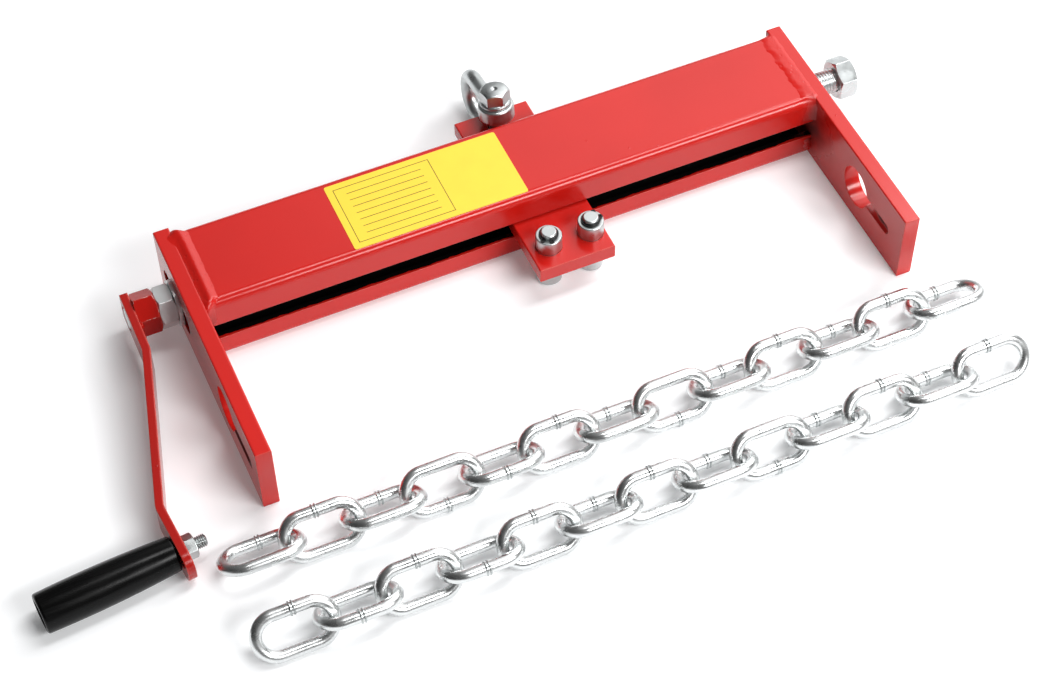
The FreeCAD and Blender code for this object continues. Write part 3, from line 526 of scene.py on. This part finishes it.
def thread(start, end, radius, depth, pitch):
    """A helical ridge along X, cut off square at both ends."""
    root, crest = radius - depth, radius
    flank = pitch * 0.4
    land = (pitch - 2 * flank) / 2
    points = [(0, 0, root), (flank, 0, crest), (flank + land, 0, crest), (2 * flank + land, 0, root),
              (pitch, 0, root)]
    ridge = draw_profile(points)
    turns = math.ceil((end - start) / pitch) + 2
    screw = ridge.modifiers.new("Thread", "SCREW")
    screw.axis = "X"
    screw.angle = FULL_TURN
    screw.screw_offset = pitch
    screw.iterations = turns
    screw.steps = screw.render_steps = 20
    screw.use_merge_vertices = True
    screw.merge_threshold = MERGE_WITHIN
    screw.use_smooth_shade = True
    apply_all(ridge)
    ridge.location.x = start - pitch
    apply_all(ridge)
    bpy.ops.object.mode_set(mode="EDIT")
    for place, facing in ((start, -1), (end, 1)):
        bpy.ops.mesh.select_all(action="SELECT")
        bpy.ops.mesh.bisect(plane_co=(place, 0, 0), plane_no=(facing, 0, 0), clear_outer=True, use_fill=True)
    face_outwards()
    return ridge


def roughen(piece, height):
    """Give a weld its lumps."""
    lumps = piece.modifiers.new("Lumps", "DISPLACE")
    lumps.texture = bpy.data.textures.new("weld_lumps", "CLOUDS")
    lumps.texture.noise_scale = LUMP_SPACING
    lumps.texture_coords = "LOCAL"
    lumps.strength = height


def bead(route, radius, sway, lumps):
    """A weld bead: a round string along a route, wavering across it and thinner at its ends."""
    deselect()
    bpy.ops.curve.primitive_bezier_curve_add(location=(0, 0, 0))
    string = bpy.context.object
    bpy.ops.object.mode_set(mode="EDIT")
    bpy.ops.curve.select_all(action="SELECT")
    bpy.ops.curve.subdivide(number_cuts=len(route) - 2)
    bpy.ops.object.mode_set(mode="OBJECT")
    points = string.data.splines[0].bezier_points
    for index, (point, place) in enumerate(zip(points, route)):
        # Waves that don't fall in step, as of a hand
        waver = math.sin(index * 0.9) + 0.6 * math.sin(index * 2.3 + 1)
        point.co = Vector(place) + Vector((waver * sway, 0, 0))
        point.radius = 1 + 0.04 * math.sin(index * 1.7) + 0.05 * math.sin(index * 0.61 + 2)
        point.handle_left_type = point.handle_right_type = "AUTO"
    points[0].radius = points[-1].radius = 0.7
    string.data.bevel_depth = radius
    string.data.bevel_resolution = 7
    string.data.use_fill_caps = True
    string.data.resolution_u = 4
    take(string)
    bpy.ops.object.convert(target="MESH")
    roughen(string, lumps)
    return string


class LEVELER_OT_frame(bpy.types.Operator):
    """Paint the channels and the plates"""
    bl_idname = "leveler.frame"
    bl_label = "Frame"

    def execute(self, context):
        cover(("upper_channel", "lower_channel"), red_enamel("red_enamel_greased_inside", greased=True))
        cover(("left_end_plate", "right_end_plate"), red_enamel("red_enamel_plates", edge=1.0, slot_darkened=True))
        return {"FINISHED"}


class LEVELER_OT_welds(bpy.types.Operator):
    """Lay the welds between the channels and the plates"""
    bl_idname = "leveler.welds"
    bl_label = "Welds"

    def execute(self, context):
        paint = red_enamel("red_enamel_over_weld", pitted=True, slot_darkened=True)
        for end, side in (("left", -1), ("right", 1)):
            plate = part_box(f"{end}_end_plate")
            seam = plate[0].x if side > 0 else plate[1].x
            welds = [self.strip(end, side, seam)]
            welds += [self.flank_bead(seam - side * sizes().bead_depth * 0.6, face) for face in (-1, 1)]
            for weld in welds:
                apply_all(weld)
            piece = join(welds)
            finish(piece, f"{end}_weld_beads", "frame", paint, WELD_SMOOTH)
            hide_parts(f"{end}_end_weld")
        return {"FINISHED"}

    def strip(self, end, side, seam):
        """The weld over the upper channel: a sheet bent round it, raised by the seam and thickened."""
        reach = sizes().weld_reach
        deselect()
        bpy.ops.mesh.primitive_grid_add(x_subdivisions=44, y_subdivisions=150, size=2.0, location=(0, 0, 0))
        sheet = bpy.context.object
        for vertex in sheet.data.vertices:
            # In weld reaches from the plate's face: half of one behind it to 1.3 in front
            inward = 0.4 + 0.9 * vertex.co.x
            place, outward, top, down = self.outline(vertex.co.y)
            crown = self.left_crown if end == "left" else self.right_crown
            rise = crown(inward, place, top) * self.ease(down / (0.5 * reach)) - sizes().weld_sink
            vertex.co = Vector((seam - side * inward * reach, 0, 0)) + place + outward * rise
        roughen(sheet, 0.3 * MM)
        wall = sheet.modifiers.new("Wall", "SOLIDIFY")
        wall.thickness = sizes().weld_wall
        wall.offset = side
        apply_all(sheet)
        edit_all()
        face_outwards()
        return sheet

    def outline(self, share):
        """A place on the upper channel's outside, from -1 at the front edge to 1 at the rear one, the
        direction out of it, how far it faces up, and its height over the flange's edge."""
        low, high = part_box("upper_channel")
        bend = sizes().channel_bend
        flank, arc, flat = high.z - low.z - bend, bend * math.pi / 2, high.y - bend
        run = (1 - abs(share)) * (flank + arc + flat)
        bent = min(max((run - flank) / bend, 0), math.pi / 2)
        outward = Vector((0, math.copysign(math.cos(bent), share), math.sin(bent)))
        y = flat + bend * math.cos(bent) - max(run - flank - arc, 0)
        z = low.z + min(run, flank) + bend * math.sin(bent)
        return Vector((0, math.copysign(y, share), z)), outward, math.sin(bent) ** 2, z - low.z

    def left_crown(self, inward, place, top):
        """A broad round back beside a groove, in the corner on the flanges and heaped up at the rear."""
        size = sizes()
        back = math.exp(-((inward - 0.55 * top) / 0.4) ** 2)
        heap = math.exp(-((place.y / size.weld_reach - 3.4) / 0.9) ** 2 - ((inward - 0.1) / 0.5) ** 2)
        ridge = size.weld_crown * top + self.corner(place) * (1 - top)
        return ridge * back + 0.7 * size.weld_crown * top * heap

    def right_crown(self, inward, place, top):
        """A flat strip from the plate to a wavering toe, hollow in the flanges' corners."""
        size = sizes()
        along = place.y / MM
        toe = 0.9 + 0.06 * math.sin(along * 0.4) + 0.03 * math.sin(along * 1.1 + 1)
        flat = self.ease((inward + 0.5) / 0.5) * self.ease((toe + 0.3 - inward) / 0.85)
        hollow = math.exp(-max(inward, 0) / 0.4)
        return 0.5 * size.weld_crown * top * flat + self.corner(place) * (1 - top) * hollow

    def corner(self, place):
        """The height of a weld on the flanges, lower at the rear where the plate is short."""
        return sizes().weld_fillet * (0.8 if place.y < 0 else 0.5)

    def ease(self, share):
        """A smooth step from nought to one."""
        share = min(max(share, 0), 1)
        return share * share * (3 - 2 * share)

    def flank_bead(self, x, face):
        """A bead up one flank of the lower channel."""
        size = sizes()
        low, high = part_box("lower_channel")
        y = face * (high.y - size.bead_depth)
        route = [(x, y, low.z + size.channel_bend + step * 2 * MM) for step in range(6)]
        return bead(route, size.bead_radius, sway=0.3 * MM, lumps=0.5 * MM)


class LEVELER_OT_screw(bpy.types.Operator):
    """Cut the thread of the lead screw"""
    bl_idname = "leveler.screw"
    bl_label = "Lead screw"

    def execute(self, context):
        size = sizes()
        low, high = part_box("lead_screw")
        centre = (low + high) / 2
        radius = (high.z - low.z) / 2
        root = radius - size.screw_thread_depth
        bare_end, edge = size.screw_thread_depth, size.screw_thread_depth / 2
        core = turn([(low.x, 0, 0), (low.x, 0, root - edge), (low.x + edge, 0, root),
                     (high.x - edge, 0, root), (high.x, 0, root - edge), (high.x, 0, 0)], 32)
        ridge = thread(low.x + bare_end, high.x - bare_end, radius, size.screw_thread_depth, size.screw_pitch)
        piece = join([core, ridge])
        piece.location = (0, centre.y, centre.z)
        finish(piece, "screw_thread", "crank", greased_and_shaded_screw())
        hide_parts("lead_screw")
        return {"FINISHED"}


class LEVELER_OT_crank(bpy.types.Operator):
    """Finish the crank's arm, nuts and washer"""
    bl_idname = "leveler.crank"
    bl_label = "Crank"

    def execute(self, context):
        # The arm, hub nut and hub weld take the darker red as painted shade
        cover(("crank_arm",), red_enamel("red_enamel_arm", shade="red_painted_shade", edge=1.4))
        cover(("crank_hub_nut",),
              red_enamel("red_enamel_hub_nut", shade="red_painted_shade", edge=0.9, chipped=True, gloss=1.25))
        cover(("right_end_nut", "grip_nut"), zinc_plate("zinc_plated_nuts", "zinc", roughness=0.3, grain=0.8))
        cover(("left_thrust_nut", "left_thrust_washer"),
              zinc_plate("dull_zinc_nut", "chain", roughness=0.42, grain=0.8))
        self.hub_weld()
        return {"FINISHED"}

    def hub_weld(self):
        """The bead between the hub nut and the arm."""
        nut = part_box("crank_hub_nut")
        centre = (nut[0] + nut[1]) / 2
        towards = Vector(JOINTS["grip_spin"]["pos_m"]) - centre
        towards = Vector((0, towards.y, towards.z)).normalized()
        across = Vector((0, -towards.z, towards.y))
        foot = Vector((nut[0].x, centre.y, centre.z)) + towards * (nut[1].z - nut[0].z) * 0.45
        route = [foot + across * step * MM for step in range(-8, 9, 2)]
        piece = bead(route, sizes().hub_bead_radius, sway=0, lumps=0.8 * MM)
        # The darker red as painted shade, as on the arm and hub nut
        paint = red_enamel("red_enamel_hub_weld", shade="red_painted_shade", pitted=True, gloss=1.25)
        finish(piece, "hub_weld_bead", "crank", paint, WELD_SMOOTH)


class LEVELER_OT_grip(bpy.types.Operator):
    """Finish the grip and thread its bolt"""
    bl_idname = "leveler.grip"
    bl_label = "Grip"

    def execute(self, context):
        cover(("handle_grip",), moulded_grip())
        size = sizes()
        start, end = -size.bolt_head_place, size.bolt_end_place
        root = size.bolt_radius - size.bolt_thread_depth
        head = size.bolt_head_radius
        seat = start + size.bolt_head_height
        recess, edge, tip = head * 0.5, head * 0.06, root * 0.2
        core = turn([(start + recess, 0, 0), (start + recess, 0, recess), (start, 0, recess),
                     (start, 0, head - edge), (start + edge, 0, head), (seat, 0, head),
                     (seat, 0, root), (end - tip, 0, root), (end, 0, root - tip), (end, 0, 0)], 40)
        ridge = thread(size.arm_thickness / 2, end - size.bolt_thread_depth, size.bolt_radius,
                       size.bolt_thread_depth, size.bolt_pitch)
        piece = join([core, ridge])
        axis = Vector(JOINTS["grip_spin"]["axis"])
        piece.rotation_euler = X_AXIS.rotation_difference(axis).to_euler()
        piece.location = JOINTS["grip_spin"]["pos_m"]
        plating = zinc_plate("zinc_plated_bolt", "zinc", roughness=0.3, grain=0.8)
        finish(piece, "grip_bolt_thread", "crank", plating)
        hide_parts("grip_bolt")
        return {"FINISHED"}


class LEVELER_OT_traveler(bpy.types.Operator):
    """Finish the traveler's bars, nut, keepers and clips"""
    bl_idname = "leveler.traveler"
    bl_label = "Traveler"

    def execute(self, context):
        cover(("traveler_front_bar", "traveler_rear_bar"), red_enamel("red_enamel_traveler", edge=1.0))
        cover(("traveler_nut",), zinc_plate("greasy_steel_nut", "grease", roughness=0.4, grain=0.8))
        cover([f"keeper_{part}_{side}" for part in ("sleeve", "core") for side in ("left", "right")],
              zinc_plate("zinc_plated_keepers", "zinc", roughness=0.34, grain=1.2, drawn=(1.0, 1.0, 0.05),
                         tooth=0.3))
        cover(("keeper_clip_left", "keeper_clip_right"), black_oxide())
        return {"FINISHED"}


class LEVELER_OT_shackle(bpy.types.Operator):
    """Finish the shackle and its pin"""
    bl_idname = "leveler.shackle"
    bl_label = "Shackle"

    def execute(self, context):
        plating = zinc_plate("zinc_plated_shackle", "zinc", roughness=0.36, grain=1.5, tooth=0.2)
        cover(("shackle_bow",), plating)
        pin = self.pin()
        tilt = sizes().pin_tilt
        way = Vector((0, math.sin(tilt), math.cos(tilt)))
        pin.rotation_euler = X_AXIS.rotation_difference(way).to_euler()
        pin.location = Vector(JOINTS["shackle_swing"]["pos_m"]) + way * sizes().pin_lift
        finish(pin, "shackle_pin_head", "shackle", plating)
        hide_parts("shackle_pin")
        return {"FINISHED"}

    def pin(self):
        """The pin along X: a shank, a collar and a forged hexagon head."""
        size = sizes()
        ear, shank, collar = size.pin_half, size.pin_radius, size.pin_collar_radius
        seat = ear + size.pin_collar_height
        soft, edge = size.pin_collar_height * 0.3, shank * 0.15
        body = turn([(-ear, 0, 0), (-ear, 0, shank - edge), (-ear + edge, 0, shank), (ear, 0, shank),
                     (ear, 0, collar - soft / 2), (ear + soft, 0, collar), (seat - soft, 0, collar),
                     (seat, 0, collar - soft), (seat, 0, 0)], 48)
        return join([body, self.head(seat)])

    def head(self, seat):
        """A hexagon with its corners rounded off to a dome and a dimple in its top."""
        size = sizes()
        tall, corner = size.pin_head_height, size.pin_head_flats / math.sqrt(3)
        deselect()
        bpy.ops.mesh.primitive_cylinder_add(vertices=6, radius=corner, depth=tall,
                                            location=(seat + tall / 2, 0, 0), rotation=(0, math.pi / 2, 0))
        hexagon = bpy.context.object
        apply_all(hexagon)
        dome = corner * 1.5
        for way, radius, place in (("INTERSECT", dome, seat + tall * 1.25 - dome),
                                   ("DIFFERENCE", size.pin_dimple, seat + tall + size.pin_dimple * 0.5)):
            deselect()
            bpy.ops.mesh.primitive_uv_sphere_add(segments=48, ring_count=24, radius=radius,
                                                 location=(place, 0, 0))
            ball = bpy.context.object
            shape = hexagon.modifiers.new("Shape", "BOOLEAN")
            shape.operation = way
            shape.object = ball
            shape.solver = "EXACT"
            apply_all(hexagon)
            take(ball)
            bpy.ops.object.delete()
        return hexagon


class LEVELER_OT_chains(bpy.types.Operator):
    """Model the chains' welded links and the flash round each weld"""
    bl_idname = "leveler.chains"
    bl_label = "Chains"

    def execute(self, context):
        size = sizes()
        plating = zinc_plate("bright_zinc_chain", "chain", roughness=0.27, grain=1.3,
                             drawn=(0.06, 1.0, 1.0), tooth=0.6)
        seam = zinc_plate("zinc_over_weld_flash", "zinc", roughness=0.3, grain=0.7)
        spread = size.link_inner_width + size.link_wire
        # The broad links rest on the floor with one leg
        height = spread / 2 * math.sin(size.broad_tilt) + size.link_wire / 2
        link, flash = self.link(spread), self.flash()
        for chain in CHAINS:
            for number in range(1, LINKS + 1):
                name = f"{chain}_link_{number:02d}"
                low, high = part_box(name)
                centre = Vector(((low.x + high.x) / 2, (low.y + high.y) / 2, height))
                tilt = size.broad_tilt if self.leans_back(chain, number) else -size.narrow_tilt
                loop = self.copy(link, centre, tilt)
                finish(loop, f"{name}_loop", name, plating)
                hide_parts(name)
                leg = -spread / 2 if number in FRONT_WELDS[chain] else spread / 2
                ring = self.copy(flash, centre + leg * Vector((0, math.cos(tilt), math.sin(tilt))), tilt)
                # No two welds sit at quite the same place, and none reaches under the floor
                ring.location.x += size.flash_stray * math.sin(number * 2.4)
                apply_all(ring)
                for vertex in ring.data.vertices:
                    vertex.co.z = max(vertex.co.z, 0.0)
                finish(ring, f"{name}_weld_flash", name, seam)
        for pattern in (link, flash):
            take(pattern)
            bpy.ops.object.delete()
        return {"FINISHED"}

    def leans_back(self, chain, number):
        """Whether a link rises to the rear, from the joint that it or its like carries."""
        axis = Vector(JOINTS[f"{chain}_joint_{number if number < LINKS else number - 2:02d}"]["axis"])
        return axis.y * axis.z > 0

    def copy(self, pattern, place, tilt):
        """A copy of a pattern with its own mesh, tilted about the chain's line."""
        take(pattern)
        bpy.ops.object.duplicate()
        piece = bpy.context.object
        piece.rotation_euler.x = tilt
        piece.location = place
        return piece

    def link(self, spread):
        """A ring of round wire, drawn out along X into a link with straight legs."""
        size = sizes()
        straight = size.link_inner_length + size.link_wire - spread
        deselect()
        bpy.ops.mesh.primitive_torus_add(major_radius=spread / 2, minor_radius=size.link_wire / 2,
                                         major_segments=66, minor_segments=28, location=(0, 0, 0))
        loop = bpy.context.object
        for vertex in loop.data.vertices:
            vertex.co.x += math.copysign(straight / 2, vertex.co.x)
        return loop

    def flash(self):
        """Two low lips of weld flash with a notch between them."""
        half, stand, wire = sizes().flash_width / 2, sizes().flash_stand, sizes().link_wire / 2
        deep = wire - 1.2 * stand
        return turn([(-half, 0, 0), (-half, 0, wire - stand), (-half * 0.6, 0, wire + stand),
                     (-half * 0.3, 0, wire + stand), (0, 0, deep), (half * 0.3, 0, wire + stand),
                     (half * 0.6, 0, wire + stand), (half, 0, wire - stand), (half, 0, 0)], 28)


class LEVELER_OT_decal(bpy.types.Operator):
    """Stick the plain yellow decal with its thin rules on the upper channel"""
    bl_idname = "leveler.decal"
    bl_label = "Decal"

    def execute(self, context):
        size = sizes()
        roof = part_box("upper_channel")[1].z
        centre = Vector((size.decal_width / 2 - size.decal_left, -MM, roof))
        film = self.sheet(centre, size.decal_width, size.decal_depth)
        edit_all()
        bpy.ops.mesh.bevel(offset=size.decal_corner, segments=4, affect="VERTICES")
        bpy.ops.object.mode_set(mode="OBJECT")
        self.thicken(film, size.decal_thickness)
        finish(film, "yellow_decal", "frame", printed_vinyl("printed_yellow_vinyl", "vinyl"))
        rules = join(self.rules(centre + Vector((0, 0, size.decal_thickness))))
        self.thicken(rules, size.decal_thickness * 0.1)
        finish(rules, "decal_rules", "frame", printed_vinyl("printed_dark_rules", "rule"))
        return {"FINISHED"}

    def sheet(self, centre, width, depth):
        """A flat rectangle."""
        deselect()
        bpy.ops.mesh.primitive_plane_add(size=1.0, location=centre)
        flat = bpy.context.object
        flat.scale = (width, depth, 1.0)
        apply_all(flat)
        return flat

    def thicken(self, flat, thickness):
        """Raise a flat sheet to a thin film."""
        take(flat)
        edit_all()
        bpy.ops.mesh.extrude_region_move(TRANSFORM_OT_translate={"value": (0, 0, thickness)})
        face_outwards()

    def rules(self, centre):
        """The frame of the left panel and the lines across it."""
        size = sizes()
        line = size.rule_width
        inset = 0.04 * size.decal_width
        left, right = -size.decal_width / 2 + inset, 0.09 * size.decal_width
        low, high = -size.decal_depth / 2 + inset, size.decal_depth / 2 - inset
        middle = Vector(((left + right) / 2, 0, 0))
        strips = [self.sheet(centre + Vector((x, (low + high) / 2, 0)), line, high - low + line)
                  for x in (left, right)]
        rows = 8
        for row in range(rows + 1):
            y = low + (high - low) * row / rows
            inner = 0 if row in (0, rows) else 3 * inset
            strips.append(self.sheet(centre + middle + Vector((0, y, 0)), right - left - inner, line))
        return strips


class LEVELER_OT_stage(bpy.types.Operator):
    """Set the white floor, the lights and the camera"""
    bl_idname = "leveler.stage"
    bl_label = "Stage"

    def execute(self, context):
        self.floor()
        self.lamps()
        self.world()
        self.camera()
        context.scene.view_settings.view_transform = "Standard"
        return {"FINISHED"}

    def floor(self):
        """A wide white sweep under the part."""
        deselect()
        bpy.ops.mesh.primitive_plane_add(size=FLOOR_SIZE, location=(0, 0, 0))
        sheet = bpy.context.object
        sheet.name = sheet.data.name = "studio_floor"
        material, tree = new_material("white_paper_floor")
        paper = add(tree, "ShaderNodeBsdfDiffuse", None, {"Color": tint("floor")})
        glow = add(tree, "ShaderNodeEmission", None, {"Color": tint("floor"), "Strength": FLOOR_GLOW})
        both = add(tree, "ShaderNodeAddShader", None, {0: paper, 1: glow})
        add(tree, "ShaderNodeOutputMaterial", None, {"Surface": both})
        sheet.data.materials.append(material)

    def lamps(self):
        """A long soft box overhead, a wide one at the front and a key at the right."""
        for name, place, target, depth, width, power in (
                ("overhead_softbox", (0.48, 0.0, 1.9), (0.2, 0.0, 0), 0.4, 1.06, 15.0),
                ("front_softbox", (0.75, -1.4, 1.3), (0.1, 0, 0), 1.3, 0.45, 31.0),
                ("key_softbox", (0.8, 0.2, 0.85), (0.2, 0.1, 0), 0.6, 0.6, 4.8)):
            deselect()
            bpy.ops.object.light_add(type="AREA", location=place)
            lamp = bpy.context.object
            lamp.name = lamp.data.name = name
            lamp.data.shape = "RECTANGLE"
            lamp.data.size = depth
            lamp.data.size_y = width
            lamp.data.energy = power
            aim = Vector(target) - Vector(place)
            lamp.rotation_euler = aim.to_track_quat("-Z", "Y").to_euler()

    def world(self):
        """A pale surround: brighter along the horizon and at the right rear, and dim on the left."""
        world = bpy.data.worlds.new("studio_surround")
        bpy.context.scene.world = world
        world.use_nodes = True
        tree = world.node_tree
        tree.nodes.clear()
        way = add(tree, COORDINATES, output="Generated")
        x = add(tree, AXES, None, {0: way}, "X")
        z = add(tree, AXES, None, {0: way}, "Z")
        above = add(tree, RANGE, EASED,
                    {"Value": z, "From Min": 0.05, "From Max": 0.55, "To Min": 0.32, "To Max": 0.2})
        aside = add(tree, RANGE, None, {"Value": x, "From Min": -1.0, "To Min": 0.15, "To Max": 1.4})
        glow = add(tree, MATH, TIMES, {0: above, 1: aside})
        facing = add(tree, VECTORS, {"operation": "DOT_PRODUCT"},
                     {0: way, 1: REAR_GLOW}, "Value")
        rear = add(tree, RANGE, EASED,
                   {"Value": facing, "From Min": 0.82, "From Max": 0.98, "To Max": 1.8})
        glow = add(tree, MATH, PLUS, {0: glow, 1: rear})
        light = add(tree, "ShaderNodeBackground", None, {"Color": (1.0, 1.0, 1.0, 1.0), "Strength": glow})
        add(tree, "ShaderNodeOutputWorld", None, {"Surface": light})

    def camera(self):
        """The camera at the photograph's angle."""
        deselect()
        bpy.ops.object.camera_add(location=CAMERA_PLACE)
        view = bpy.context.object
        view.name = view.data.name = "photo_camera"
        view.rotation_euler = [math.radians(degrees) for degrees in CAMERA_TURN]
        view.data.lens = CAMERA_LENS
        view.data.sensor_width = CAMERA_SENSOR
        bpy.context.scene.camera = view


STEPS = (LEVELER_OT_frame, LEVELER_OT_welds, LEVELER_OT_screw, LEVELER_OT_crank, LEVELER_OT_grip,
         LEVELER_OT_traveler, LEVELER_OT_shackle, LEVELER_OT_chains, LEVELER_OT_decal, LEVELER_OT_stage)


class LEVELER_PT_panel(bpy.types.Panel):
    """The sizes, colours and steps of the leveler"""
    bl_idname = "LEVELER_PT_panel"
    bl_label = "Engine load leveler"
    bl_space_type = "VIEW_3D"
    bl_region_type = "UI"
    bl_category = "Leveler"

    def draw(self, context):
        for group in (context.scene.leveler_sizes, context.scene.leveler_colours):
            box = self.layout.box()
            for name in group.__annotations__:
                box.prop(group, name)
        for step in STEPS:
            self.layout.operator(step.bl_idname)


CLASSES = (LevelerSizes, LevelerColours, *STEPS, LEVELER_PT_panel)


def register():
    for item in CLASSES:
        bpy.utils.register_class(item)
    bpy.types.Scene.leveler_sizes = PointerProperty(type=LevelerSizes)
    bpy.types.Scene.leveler_colours = PointerProperty(type=LevelerColours)


def unregister():
    del bpy.types.Scene.leveler_colours
    del bpy.types.Scene.leveler_sizes
    for item in reversed(CLASSES):
        bpy.utils.unregister_class(item)


def main():
    register()
    bpy.ops.leveler.frame()
    bpy.ops.leveler.welds()
    bpy.ops.leveler.screw()
    bpy.ops.leveler.crank()
    bpy.ops.leveler.grip()
    bpy.ops.leveler.traveler()
    bpy.ops.leveler.shackle()
    bpy.ops.leveler.chains()
    bpy.ops.leveler.decal()
    bpy.ops.leveler.stage()


if __name__ == "__main__":
    main()
